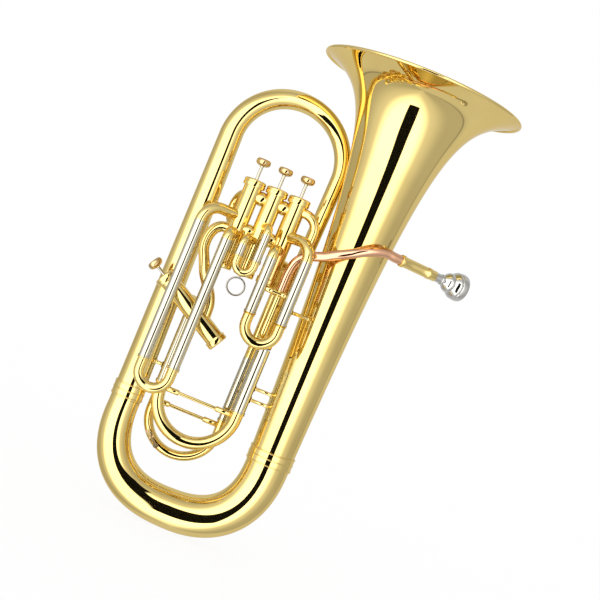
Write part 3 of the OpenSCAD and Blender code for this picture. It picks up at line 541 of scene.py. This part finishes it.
def sleevedRod(low, high, r, firstEnd, lastEnd, sides=32):
    h = np.linalg.norm(np.asarray(high) - low)
    big, soft = r * rod["end"], rod["soft"]
    outline = [(0, 0), (big - soft, 0), (big, soft), (big, firstEnd - soft), (big - soft, firstEnd),
               (r, firstEnd), (r, h - lastEnd), (big - soft, h - lastEnd), (big, h - lastEnd + soft),
               (big, h - soft), (big - soft, h), (0, h)]
    return turned(outline, low, np.asarray(high) - low, sides, False)


# upright valves and the side valve
valve = {"x": 10.2, "pitch": 33.3, "y": -24.0, "z": 371.0, "length": 131.0, "casing": 13.1, "wall": 1.0,
         "stroke": 16.0, "stem": 2.3, "neck": 5.0, "button": 10.5, "buttonHigh": 10.0, "cap": 16.0,
         "capHigh": 10.5, "capFloor": 6.0, "felt": 2.3, "seat": 0.15, "foot": 14.8, "footHigh": 10.0,
         "footFloor": 4.0, "vent": 2.5, "seam": 0.05, "knuckle": 10.4, "knuckleLow": 60.5,
         "knuckleSink": 0.4, "barrel": 1.5, "portIn": 6.0, "portSink": 0.5}
sideValve = {"at": np.array([-17.4, -36.0, 271.7]), "lean": 60.5, "length": 121.0, "stroke": 12.0,
             "neck": 3.0}
sideLean = math.radians(sideValve["lean"])
sideWay = np.array([-math.sin(sideLean), 0, math.cos(sideLean)])
valveRow = [np.array([valve["x"] - valve["pitch"] * i, valve["y"], valve["z"]]) for i in range(3)]
valveFoot = valveRow + [sideValve["at"]]
valveWay = [up, up, up, sideWay]
valveLength, valveStroke, valveNeck = (
    [valve[k]] * 3 + [sideValve[k]] for k in ("length", "stroke", "neck"))


def onValve(i, t):
    return valveFoot[i] + t * valveWay[i]


# ends a tube on the wall of a casing: what lies inside the wall moves back against the tube's last
# direction, by the root of the circle's equation
def cutToCasing(part, i, ahead):
    verts, quads = part
    axis, t = valveWay[i], unitOf(ahead)
    w = verts - valveFoot[i]
    height = w @ axis
    w = w - height[:, None] * axis
    flat = t - (t @ axis) * axis
    lack = (valve["casing"] - valve["portSink"]) ** 2 - (w * w).sum(1)
    lean, size = w @ flat, flat @ flat
    back = (lean + np.sqrt(np.maximum(lean ** 2 + size * lack, 0))) / size
    inside = (lack > 0) & (height > 0) & (height < valveLength[i])
    return verts - np.where(inside, back, 0)[:, None] * t, quads


outlineSteps = 6  # rows between two points of a smooth outline


# barrel between two casings, each row of it starting and ending on their round walls, at the root of
# c * c - y * y, the radius falling with the square of the way from the middle
def saddleTube(first, last, r, wall, sides=64):
    a = np.linspace(0, 2 * math.pi, sides, endpoint=False)[None, :]
    t = np.linspace(0, 1, 16)[:, None]
    span = np.linalg.norm(last - first)
    c = valve["casing"] - valve["knuckleSink"]

    def skin(size):
        start = np.sqrt(c * c - ((size - valve["barrel"]) * np.cos(a)) ** 2)
        x = mix(start, span - start, t)
        size = size - valve["barrel"] * (2 * t - 1) ** 2
        way = unitOf(last - first)
        across = np.cross(up, way)
        aside, rise = size * np.cos(a), size * np.sin(a)
        return first + x[..., None] * way + aside[..., None] * across + rise[..., None] * up

    grid = np.concatenate([skin(r), skin(r - wall)[::-1]])
    return grid.reshape(-1, 3), gridQuads(len(grid), sides, True)


# casings, caps, stems and buttons are outlines turned round the axis of their valve
def makeValves():
    topCaps, footCaps = [], []
    c, s, seam = valve["casing"], valve["stem"], valve["seam"]
    for i in range(4):
        h, way, foot, mover = valveLength[i], valveWay[i], valveFoot[i], f"valve_{i + 1}"
        under, over = valve["footFloor"], valve["capFloor"]
        low, high, bore = under + seam, h - over - seam, c - valve["wall"]
        outline = [(c, low), (c, mix(low, high, 0.33)), (c, mix(low, high, 0.66)), (c, high), (bore, high),
                   (bore, low)]
        meshPiece(f"casing{i + 1}", [turned(outline, foot, way, 80)], lacquerBrass, "body",
                  [f"valve_casing_{i + 1}"])
        cap, k = valve["cap"], valve["capHigh"]
        outline = [(s + 0.4, 0.65), (s + 2.5, 0.8), (s + 3.4, 0.55), (cap - 2.5, 0), (cap - 1.5, -0.35),
                   (cap - 0.6, -1), (cap - 0.15, -1.9), (cap, -3), (cap, -4.2), (cap - 0.55, -4.5),
                   (cap - 0.55, -5.1), (cap, -5.4), (cap, -k + 1), (cap - 0.6, -k), (c + seam, -k),
                   (c + seam, -over), (s + 0.4, -over)]
        topCaps.append(turned(outline, foot + h * way, way, 96))
        b, k, v = valve["foot"], valve["footHigh"], valve["vent"]
        outline = [(v, 0), (b - 3, 0), (b - 1.8, 0.15), (b - 1, 0.6), (b - 0.3, 1.2), (b, 2), (b, 5.2),
                   (b - 0.5, 5.5), (b - 0.5, 6.1), (b, 6.4), (b, k - 0.6), (b - 0.6, k), (c + seam, k),
                   (c + seam, under), (v, under)]
        footCaps.append(turned(outline, foot, way, 96))
        buttonLow = h + valveStroke[i] + valveNeck[i]
        pistonTop = h - over - valve["felt"] - valve["seat"]
        outline = [(0, pistonTop), (s, pistonTop), (s, buttonLow - 2.2), (s + 0.5, buttonLow - 1),
                   (s + 1.2, buttonLow), (0, buttonLow)]
        meshPiece(f"stemRod{i + 1}", [turned(outline, foot, way, 40, False)], nickelSilver, mover,
                  [f"stem_{i + 1}"], True)
        r, q = valve["button"], valve["buttonHigh"]
        skin = curveThrough([(r * 0.55, 0), (r * 0.85, q * 0.16), (r * 0.97, q * 0.36), (r, q * 0.55),
                             (r * 0.96, q * 0.8), (r * 0.86, q * 0.95), (r * 0.72, q), (r * 0.6, q * 0.95),
                             (r * 0.3, q * 0.9)], outlineSteps)
        outline = np.vstack([[(0, 0)], skin, [(0, q * 0.88)]])
        # button finish: worn mottling, plus a darker tone in its colour that is painted shade
        meshPiece(f"button{i + 1}", [turned(outline, foot + buttonLow * way, way, 64, False)], wornAndShadedBrass,
                  mover, [f"finger_button_{i + 1}"], True)
    meshPiece("valveTopCaps", topCaps, lacquerBrass, "body", ["top_caps"])
    meshPiece("valveFootCaps", footCaps, lacquerBrass, "body", ["bottom_caps"])
    k = valve["knuckle"]
    parts = []
    for i in range(2):
        for t in (valve["length"] - valve["capHigh"] - k - 1, valve["knuckleLow"]):
            parts.append(saddleTube(onValve(i, t), onValve(i + 1, t), k, slideTube["wall"]))
    meshPiece("knuckles", parts, lacquerBrass, "body", ["valve_knuckles"])


makeValves()
print("valves made")

# front slides
front = {"y": -59.0, "low": (329.0, 396.0, 218.0), "r": (8.1, 6.2, 8.1), "drop": (13.0, 8.0, 14.0),
         "inside": (70.0, 11.0, 110.0), "high": 446.0, "under": 422.0, "nearBend": (12.0, 10.0, 12.0),
         "farBend": (24.0, 10.0, 26.0), "near": (-3.8, -14.6, -4.1), "far": (41.9, 10.9, -47.7),
         "lap": 2.0, "slim": 0.15}


def nearX(i):
    return valveFoot[i][0] + front["near"][i]


def farX(i):
    return valveFoot[i][0] + front["far"][i]


# pale sleeve with a brass elbow from its top that bends straight towards the axis of the valve
def turningLeg(x, i, port, bend):
    way = valveFoot[i][:2] - (x, front["y"])
    heading = math.atan2(way[1], way[0])
    low, r, y = front["low"][i], front["r"][i], front["y"]
    top = port - bend
    run = np.linalg.norm(way) - bend - valve["casing"] + valve["portIn"]
    sleeve = ringedLeg((x, y, low), up, (1, 0, 0), [(top - low, 0, 0, 0)], r)
    elbow = ringedLeg((x, y, top - front["lap"]), up, (1, 0, 0),
                      [(front["lap"], bend, math.degrees(heading), 90), (run, 0, 0, 0)],
                      r - front["slim"], (math.sin(heading), -math.cos(heading), 0), 56, False)
    return sleeve, cutToCasing(elbow, i, (*way, 0))


def makeFrontSlides():
    for i in range(3):
        near = turningLeg(nearX(i), i, front["under"], front["nearBend"][i])
        far = turningLeg(farX(i), i, front["high"], front["farBend"][i])
        meshPiece(f"slideSleeves{i + 1}", [near[0], far[0]], nickelSilver, "body", [f"slide_legs_{i + 1}"])
        meshPiece(f"slideElbows{i + 1}", [near[1], far[1]], lacquerBrass, "body", None)
        x = sorted((nearX(i), farX(i)))
        part = slideBow(x, front["y"], front["low"][i], front["drop"][i], front["r"][i], front["inside"][i])
        meshPiece(f"slideBow{i + 1}", [part], lacquerBrass, f"slide_{i + 1}", [f"slide_bow_{i + 1}"])


makeFrontSlides()

# finger ring under the second slide: a turned section with round corners, and a waisted lug above it
pullRing = {"r": 10.9, "band": 2.7, "deep": 3.2, "lug": 1.2, "round": 0.6, "rows": 40}


def makePullRing():
    x = sorted((nearX(1), farX(1)))
    r, band, deep = pullRing["r"], pullRing["band"], pullRing["deep"] / 2
    low = front["low"][1] - front["drop"][1] - (x[1] - x[0]) / 2 - (front["r"][1] - slideTube["step"])
    at = np.array([sum(x) / 2, front["y"], low - pullRing["lug"] - r - band])
    a = np.linspace(0, 2 * math.pi, pullRing["rows"], endpoint=False)
    across, along = (np.sign(v) * np.abs(v) ** pullRing["round"] for v in (np.cos(a), np.sin(a)))
    shape = np.stack([r + band / 2 + band / 2 * across, deep * along], 1)
    top = band / 2 + pullRing["lug"]
    lug = [(0, 0), (deep * 0.84, 0), (deep * 0.7, 0.9), (deep * 0.84, top), (0, top)]
    parts = [turned(shape, at, (0, 1, 0), 120), turned(lug, at + (0, 0, r + band / 2), up, 32, False)]
    meshPiece("fingerRing", parts, ringNickel, "slide_2", ["pull_ring"], True)


makePullRing()

# tuning slide and fourth slide
fourth = {"x": 27.7, "span": 101.2, "y": 14.0, "z": 171.0, "r": 7.4, "drop": 21.0, "inside": 68.0,
          "port": 84.0, "backPort": 36.0, "bend": 11.0, "sleeve": 96.0, "lap": 2.0, "slim": 0.3,
          "rodDrop": 8.5, "rodEnds": (16, 20)}
tuningX = (tuning["x"] - tuning["span"], tuning["x"])
fourthX = (fourth["x"] - fourth["span"], fourth["x"])


# rod between the two tubes of a slide, its ends a little inside them
def slideRod(x, y, z, r, firstEnd, lastEnd):
    reach = r - slideTube["step"] - rod["sink"]
    return sleevedRod((x[0] + reach, y, z), (x[1] - reach, y, z), rod["r"], firstEnd, lastEnd)


# pale sleeve at the bottom, and the brass tube from it that climbs and turns to its port
def climbingLeg(x, target, i):
    y, z, r, bend, lap = (fourth[k] for k in ("y", "z", "r", "bend", "lap"))
    out = np.array([target[0] - x, target[1] - y])
    heading = math.atan2(out[1], out[0])
    inset = valve["casing"] - valve["portIn"]
    top = z + fourth["sleeve"]
    sleeve = ringedLeg((x, y, z), up, (1, 0, 0), [(fourth["sleeve"], 0, 0, 0)], r)
    runs = [(target[2] - bend - top + lap, bend, math.degrees(heading), 90),
            (np.linalg.norm(out) - bend - inset, 0, 0, 0)]
    elbow = ringedLeg((x, y, top - lap), up, (1, 0, 0), runs, r - fourth["slim"],
                      (math.sin(heading), -math.cos(heading), 0), 56, False)
    return sleeve, cutToCasing(elbow, i, (*out, 0))


def makeLowSlides():
    port = (sideValve["at"][0] - tuningX[0]) / math.sin(sideLean)
    rise = onValve(3, port)[2] - tuning["bend"] - tuning["z"]
    left = ringedLeg((tuningX[0], tuning["y"], tuning["z"]), up, (1, 0, 0),
                     [(rise, tuning["bend"], -90, 90), (tuning["portRun"], 0, 0, 0)], tuning["r"],
                     (1, 0, 0), 64)
    meshPiece("tuningLegLeft", [cutToCasing(left, 3, (0, -1, 0))], nickelSilver, "body",
              ["tuning_leg_left"])
    right = ringedLeg((tuningX[1], tuning["y"], tuning["z"]), up, (1, 0, 0),
                      [(tuning["rise"] - tuning["topGap"], 0, 0, 0)], tuning["r"], (0, 1, 0), 64)
    meshPiece("tuningLegRight", [right], nickelSilver, "body", ["tuning_leg_right"])
    bend = slideBow(tuningX, tuning["y"], tuning["z"], tuning["drop"], tuning["r"], tuning["inside"], 72)
    meshPiece("tuningBow", [bend], lacquerBrass, "tuning_slide", ["tuning_bow"])
    rodZ = tuning["z"] - slideTube["ringHigh"] - rod["end"] * rod["r"] - rod["ringGap"]
    bar = slideRod(tuningX, tuning["y"], rodZ, tuning["r"], *tuning["rodEnds"])
    meshPiece("tuningRod", [bar], lacquerBrass, "tuning_slide", ["tuning_brace"], True)
    sleeve, elbow = climbingLeg(fourthX[0], onValve(3, fourth["port"]), 3)
    meshPiece("fourthSleeveLeft", [sleeve], nickelSilver, "body", ["fourth_leg_left"])
    meshPiece("fourthElbowLeft", [elbow], lacquerBrass, "body", None)
    sleeve, elbow = climbingLeg(fourthX[1], onValve(0, fourth["backPort"]), 0)
    meshPiece("fourthSleeveRight", [sleeve], nickelSilver, "body", ["fourth_leg_right"])
    meshPiece("fourthElbowRight", [elbow], lacquerBrass, "body", None)
    bend = slideBow(fourthX, fourth["y"], fourth["z"], fourth["drop"], fourth["r"], fourth["inside"], 64)
    meshPiece("fourthBow", [bend], lacquerBrass, "fourth_slide", ["fourth_bow"])
    bar = slideRod(fourthX, fourth["y"], fourth["z"] - fourth["rodDrop"], fourth["r"], *fourth["rodEnds"])
    meshPiece("fourthRod", [bar], lacquerBrass, "fourth_slide", ["fourth_brace"], True)


makeLowSlides()

# loops behind the upright valves
loops = {"r": 6.2, "bend": (17.0, 11.0, 22.0), "low": 64.0, "out": 17.1, "turn": (0.0, 0.0, 29.0)}


def makeLoops():
    inset = valve["casing"] - valve["portIn"]
    parts = []
    for i in range(3):
        run, a = loops["out"] - inset, math.radians(loops["turn"][i])
        out = np.array([-math.sin(a), math.cos(a), 0])
        points, ways, _ = laidPath(onValve(i, loops["low"]) + inset * out, out, (0, 0, 1),
                                   [(run, loops["bend"][i], 0, 180), (run, 0, 0, 0)])
        r = np.full(len(points), loops["r"])
        loop = hollowShell(points, ways, r, r - slideTube["wall"], (math.cos(a), math.sin(a), 0))
        parts.append(cutToCasing(loop, i, -out))
    meshPiece("backLoops", parts, lacquerBrass, "body", ["compensating_loops"])


makeLoops()
print("slides made")

# link from the third valve to the side valve, its first points from one foot and its last from the other
link = {"r": 7.6, "steps": 6,
        "first": [(-6, 0, 54), (-13.7, 0, 54), (-21, 0, 52.4), (-27.3, 0, 46.9), (-31.3, 0, 38),
                  (-32.6, -0.3, 27), (-31, -1.4, 15)],
        "last": [(-62, 7, 97), (-55.8, 4.5, 83.6), (-46.8, 2.5, 70.8), (-38.4, 1, 59), (-33.4, 0, 47),
                 (-32, 0, 35), (-32, 0, 26)]}


def makeLink():
    points = np.vstack([valveFoot[2] + np.array(link["first"]), valveFoot[3] + np.array(link["last"])])
    path = curveThrough(points, link["steps"])
    r = np.full(len(path), link["r"])
    tube = hollowShell(path, slopes(path), r, r - slideTube["wall"], (0, 1, 0), 56)
    tube = cutToCasing(cutToCasing(tube, 2, (1, 0, 0)), 3, (0, 0, -1))
    meshPiece("valveLink", [tube], lacquerBrass, "body", ["valve_link"])


makeLink()

# leadpipe, crook, receiver and mouthpiece
lead = {"r": 6.8, "wall": 0.8, "joint": 368.0, "crook": 310.0, "inletJoint": 402.0, "elbow": 22.0,
        "capGap": 0.5, "start": 10.8, "steps": 8, "seam": 0.05, "sleeve": 10.0, "inletSleeve": 8.0,
        "inletBeads": (0.12, 0.88)}
receiver = {"at": np.array([171.0, -36.0, 475.0]), "way": unitOf((55.0, 28.0, -1.0)), "r": 7.9,
            "length": 61.0, "shank": 37.0}
inlet = np.array([valve["x"] + 35.8, valve["y"] - 3.0])
leadLeg = inlet + (-12.0, -14.0)
legX, legY = leadLeg
leadPoints = [receiver["at"], receiver["at"] - lead["start"] * receiver["way"],
              (151.4, -45, 476), (141.4, -50, 474.2), (131.5, -54, 470.6), (121.7, -56.5, 466.1),
              (108.1, -57.5, 458.3), (92.6, -55, 450.1), (83, -51.5, 445), (73.3, -47.5, 439.3),
              (63.5, -44.5, 435.5), (53.7, -42.3, 431.6), (43.9, -41.2, 424.8), (legX + 3.1, legY, 414),
              (legX + 0.2, legY, 398.4), (legX, legY, 382.7), (legX, legY, lead["joint"])]
leadPath = curveThrough(leadPoints, lead["steps"])


def makeLead():
    r = np.full(len(leadPath), lead["r"])
    tube = hollowShell(leadPath, slopes(leadPath), r, r - lead["wall"], (0.2, 1, 0.1), 64)
    meshPiece("leadPipe", [tube], roseBrass, "body", ["leadpipe"])
    fit, h = lead["r"] + lead["seam"], lead["sleeve"]
    sleeve = turned(ferruleOutline(fit, fit, h), (legX, legY, lead["joint"] - h / 2), up, 64)
    meshPiece("leadSleeve", [sleeve], lacquerBrass, "body", ["leadpipe_ferrule"])
    across = inlet - leadLeg
    toValve = valveFoot[0][:2] - inlet
    points, ways, _ = laidPath((*leadLeg, lead["joint"]), (0, 0, -1), (*across, 0),
                               [(lead["joint"] - lead["crook"], np.linalg.norm(across) / 2, 0, 180),
                                (lead["inletJoint"] - lead["crook"], 0, 0, 0)])
    r = np.full(len(points), lead["r"])
    parts = [hollowShell(points, ways, r, r - lead["wall"], (across[1], -across[0], 0))]
    high = valve["z"] + valve["length"] - valve["capHigh"] - lead["r"] - lead["capGap"]
    run = np.linalg.norm(toValve) - lead["elbow"] - valve["casing"] + valve["portIn"]
    points, ways, _ = laidPath((*inlet, lead["inletJoint"]), up, (*toValve, 0),
                               [(high - lead["elbow"] - lead["inletJoint"], lead["elbow"], 0, 90),
                                (run, 0, 0, 0)])
    r = np.full(len(points), lead["r"])
    elbow = hollowShell(points, ways, r, r - lead["wall"], (toValve[1], -toValve[0], 0))
    parts.append(cutToCasing(elbow, 0, (*toValve, 0)))
    h = lead["inletSleeve"]
    outline = ferruleOutline(lead["r"], lead["r"], h, lead["inletBeads"])
    parts.append(turned(outline, (*inlet, lead["inletJoint"] - h / 2), up, 64))
    meshPiece("leadCrook", parts, lacquerBrass, "body", ["lead_crook"])


mouth = {"rim": 20.0, "out": 50.0, "cup": 12.8, "throat": 3.3, "shank": 6.6, "tip": 6.2, "gap": 0.05}


# wide collar with a groove, slim tube, ring and end, then the tapered bore back
def makeReceiver():
    r, n = receiver["r"], receiver["length"]
    bore, deep = lead["r"] - lead["wall"], n - receiver["shank"] - 1
    wide, slim, ring = r + 0.6, r - 0.4, r + 0.2
    outline = [(bore, 0.2), (wide - 0.4, 0.2), (wide, 0.6), (wide, 2.4), (wide - 0.45, 2.7),
               (wide - 0.45, 3.3), (wide, 3.6), (wide, 5.6), (wide - 0.4, 6), (slim, 7), (slim, 20),
               (slim, 34), (slim, n - 14), (ring - 0.3, n - 13.6), (ring, n - 13), (ring, n - 9),
               (ring - 0.3, n - 8.4), (slim, n - 8), (slim, n - 0.3), (slim - 0.3, n),
               (mouth["shank"] + mouth["gap"], n), (mouth["tip"] + mouth["gap"], deep), (bore, deep)]
    meshPiece("mouthReceiver", [turned(outline, receiver["at"], receiver["way"], 72)], lacquerBrass, "body",
              ["mouthpiece_receiver"])


# radius and share of the length: shank, collar, two swells, rim, cup and throat on one smooth outline
def makeMouthpiece():
    q, out, cup, s = mouth["rim"], mouth["out"], mouth["cup"], mouth["shank"]
    shape = [(s, 0), (s, 0.21), (s + 0.9, 0.23), (s + 0.9, 0.27), (s + 0.2, 0.29), (s + 2.2, 0.34),
             (q * 0.6, 0.4), (q * 0.69, 0.47), (q * 0.71, 0.54), (q * 0.68, 0.56), (q * 0.82, 0.62),
             (q * 0.94, 0.69), (q * 0.97, 0.74), (q * 0.94, 0.76), (q * 0.98, 0.79), (q, 0.86),
             (q * 0.99, 0.93), (q * 0.95, 0.98), (q * 0.88, 1), (q * 0.78, 0.995), (cup + 0.8, 0.97),
             (cup, 0.92), (cup * 0.96, 0.8), (cup * 0.82, 0.62), (cup * 0.5, 0.46),
             (mouth["throat"], 0.36), (mouth["throat"], 0.2)]
    skin = curveThrough(np.array(shape) * (1, out), outlineSteps)
    outline = np.vstack([[(mouth["tip"], -receiver["shank"])], skin,
                         [(mouth["tip"] - 1, -receiver["shank"])]])
    at = receiver["at"] + receiver["length"] * receiver["way"]
    meshPiece("cupMouthpiece", [turned(outline, at, receiver["way"], 112)], silverPlate, "mouthpiece",
              ["mouthpiece"])


makeLead()
makeReceiver()
makeMouthpiece()
print("leadpipe and mouthpiece made")

# braces between the tubes, each with soldered feet
brace = {"foot": 5.0, "footHigh": 1.4, "tuning": (232.0, 215.0), "slide": 350.6, "branch": 214.0,
         "leadRow": 48, "cross": 368.0, "crossEnds": (10, 7)}


# rod whose two feet flare out with a power of the way to their faces
def footedRod(low, high, r):
    h = np.linalg.norm(np.asarray(high) - low)
    foot, k = brace["foot"], brace["footHigh"]
    rise = np.linspace(0, 1, 8)
    flare = np.stack([mix(foot, r, rise ** 0.6), k * (0.35 + 0.65 * rise ** 2)], 1)
    start = np.vstack([[(0, 0), (foot, 0)], flare])
    outline = np.vstack([start, (start * (1, -1) + (0, h))[::-1]])
    return turned(outline, low, np.asarray(high) - low, 40, False)


# level rod from a tube straight towards the axis of the bell, up to its wall
def bellRod(start, r):
    axis = np.array([bell["x"], 0, start[2]])
    way = unitOf(axis - start)
    return footedRod(start + r * way, axis - bellRadius(rimZ - start[2]) * way, rod["r"])


def makeBraces():
    parts = [bellRod(np.array([tuningX[1], tuning["y"], z]), tuning["r"]) for z in brace["tuning"]]
    parts.append(bellRod(np.array([farX(0), front["y"], brace["slide"]]), front["r"][0]))
    y, z, r = front["y"], brace["cross"], front["r"][0]
    parts.append(sleevedRod((nearX(0) + r, y, z), (farX(0) - r, y, z), rod["r"], *brace["crossEnds"]))
    t = (brace["branch"] - branchLow[2]) / branch["length"]
    at, r = mix(branchLow, branchHigh, t), mix(bow["small"], branch["top"], t)
    leg = np.array([tuningX[0], tuning["y"], brace["branch"]])
    way = unitOf(leg - at)
    parts.append(footedRod(at + r * way, leg - tuning["r"] * way, rod["r"]))
    pipe = leadPath[brace["leadRow"]]
    axis = np.array([bell["x"], 0, pipe[2]])
    way = unitOf(pipe - axis)
    parts.append(footedRod(axis + bellRadius(rimZ - pipe[2]) * way, pipe - lead["r"] * way, rod["r"]))
    meshPiece("braces", parts, lacquerBrass, "body", ["body_braces"], True)


makeBraces()
print("braces made")

# what stays as CAD gets its finish here
cadFinish = {"piston": nickelSilver, "water_key": wornAndShadedBrass, "spring": springSteel, "felt": washerFelt}
for name, cadNode in cadNodes.items():
    finish = next((f for start, f in cadFinish.items() if name.startswith(start)), lacquerBrass)
    cadNode.data.materials.clear()
    cadNode.data.materials.append(finish)
print("finishes set")

# camera: level with the middle of the part, turned so that the part leans as in the picture
view = {"centre": (63.5, 0.0, 371.0), "distance": 1900.0, "half": 423.0, "lean": 22.5, "sensor": 36.0}


def makeCamera():
    data = bpy.data.cameras.new("studioCamera")
    data.sensor_width = view["sensor"]
    data.lens = view["sensor"] / 2 * view["distance"] / view["half"]
    data.clip_end = 20.0
    camera = bpy.data.objects.new("studioCamera", data)
    scene.collection.objects.link(camera)
    lean = math.radians(view["lean"])
    right = Vector((math.cos(lean), 0, math.sin(lean)))
    upright = Vector((-math.sin(lean), 0, math.cos(lean)))
    place = Matrix((right, upright, Vector((0, -1, 0)))).transposed().to_4x4()
    place.translation = Vector(view["centre"]) * metre + Vector((0, -view["distance"] * metre, 0))
    camera.matrix_world = place
    scene.camera = camera


makeCamera()

# studio: a broad soft light round the camera, and a duller room behind
studio = {"shift": 12.0, "squash": (0.75, 1.3), "lamp": 2.5, "lampEdge": (40.0, 64.0), "side": 0.95,
          "sideEdge": (56.0, 100.0), "mid": 0.57, "backEdge": (122.0, 140.0), "back": 0.76,
          "seam": (127.0, 0.25), "seamEdge": (0.5, 2.5), "fill": 1.0}


# what a ray is: seen by the camera, or mirrored or passed on by a surface
def rayKinds(tree):
    isCamera = tree.add("ShaderNodeLightPath")
    glossy, passed = (isCamera.beside(kind) for kind in ("Is Glossy Ray", "Is Transmission Ray"))
    return isCamera, glossy.math("MAXIMUM", passed)


# mirrored light falls off with the angle from the lamp, in degrees, with a thin dark seam behind
def makeWorld():
    world = bpy.data.worlds.new("studioRoom")
    scene.world = world
    tree = Tree(world)
    way = tree.add("ShaderNodeTexCoord", output="Generated")
    x = tree.add("ShaderNodeSeparateXYZ", {}, {0: way})
    y, z = x.beside(1), x.beside(2)
    degrees = 180 / math.pi
    turn = x.math("ARCTAN2", -y) * degrees
    rise = z.math("ARCSINE") * degrees
    wide = turn + studio["shift"]
    high = (rise * studio["squash"][1]).math("MAXIMUM", rise * -studio["squash"][0])
    away = (wide * wide + high * high).math("SQRT")
    lamp = tree.smooth(away, *studio["lampEdge"], studio["lamp"] - studio["side"], 0.0)
    room = tree.smooth(away, *studio["sideEdge"], studio["side"], studio["mid"])
    back = tree.smooth(away, *studio["backEdge"], 0.0, studio["back"] - studio["mid"])
    seamAt, seamDark = studio["seam"]
    seam = tree.smooth(abs(away - seamAt), *studio["seamEdge"], seamDark, 0.0)
    seen = lamp + room + back - seam
    isCamera, isGlossy = rayKinds(tree)
    level = studio["fill"] + isGlossy * (seen - studio["fill"])
    level = level + isCamera * (1 - level)
    background = tree.add("ShaderNodeBackground", {}, {"Color": (1, 1, 1, 1), "Strength": level})
    tree.add("ShaderNodeOutputWorld", {}, {"Surface": background})


makeWorld()

# flat card through four corners, which isn't part of the object; gives back its empty shader tree
def stageCard(name, corners):
    mesh = bpy.data.meshes.new(name)
    mesh.from_pydata([tuple(c) for c in corners], [], [(0, 1, 2, 3)])
    card = bpy.data.objects.new(name, mesh)
    scene.collection.objects.link(card)
    material = bpy.data.materials.new(name)
    mesh.materials.append(material)
    return Tree(material)


# pale floor under the bow: white to the camera with a little of the shade on it, and clear to mirrored rays
floor = {"size": 3000.0, "below": 1.0, "white": 0.9, "tone": (0.97, 0.97, 0.97)}


def makeFloor():
    h = floor["size"]
    corners = np.array([(-h, -h, 0), (h, -h, 0), (h, h, 0), (-h, h, 0)]) * metre
    corners += (view["centre"][0] * metre, 0, float(cadLow[2]) - floor["below"] * metre)
    tree = stageCard("paleFloor", corners)
    isCamera, isGlossy = rayKinds(tree)
    shade = tree.add("ShaderNodeBsdfDiffuse", {}, {"Color": (*floor["tone"], 1)})
    glow = tree.add("ShaderNodeEmission", {}, {"Color": (1, 1, 1, 1), "Strength": 1.0})
    clear = tree.add("ShaderNodeBsdfTransparent")
    white = tree.add("ShaderNodeMixShader", {}, {0: isCamera * floor["white"], 1: shade, 2: glow})
    both = tree.add("ShaderNodeMixShader", {}, {0: isGlossy, 1: white, 2: clear})
    tree.add("ShaderNodeOutputMaterial", {}, {"Surface": both})


makeFloor()

# dark upright gap in the light in front of the part: only mirrored rays meet it
gap = {"left": (-115.0, -15.0), "right": (215.0, 275.0), "turn": (250.0, 600.0), "z": (-370.0, 930.0),
       "y": -750.0, "soft": 14.0, "tone": (0.01, 0.01, 0.01)}


def makeGap():
    (low, high), y, e = gap["z"], gap["y"], gap["soft"]
    left, right = min(gap["left"]) - e, max(gap["right"]) + e
    corners = np.array([(left, y, low - e), (right, y, low - e), (right, y, high + e), (left, y, high + e)])
    tree = stageCard("darkGap", corners * metre)
    place = tree.add("ShaderNodeTexCoord", output="Object")
    across = tree.add("ShaderNodeSeparateXYZ", {}, {0: place})
    x, z = across / metre, across.beside(2) / metre
    fromLeft, fromRight = (x - tree.smooth(z, *gap["turn"], *gap[k]) for k in ("left", "right"))
    inside = tree.smooth(fromLeft, -e, e) * (1 - tree.smooth(fromRight, -e, e))
    inside = inside * tree.smooth(z, low - e, low + e) * (1 - tree.smooth(z, high - e, high + e))
    _, isGlossy = rayKinds(tree)
    clear = tree.add("ShaderNodeBsdfTransparent")
    dark = tree.add("ShaderNodeBsdfDiffuse", {}, {"Color": (*gap["tone"], 1)})
    both = tree.add("ShaderNodeMixShader", {}, {0: isGlossy * inside, 1: clear, 2: dark})
    tree.add("ShaderNodeOutputMaterial", {}, {"Surface": both})


makeGap()
print("studio made")
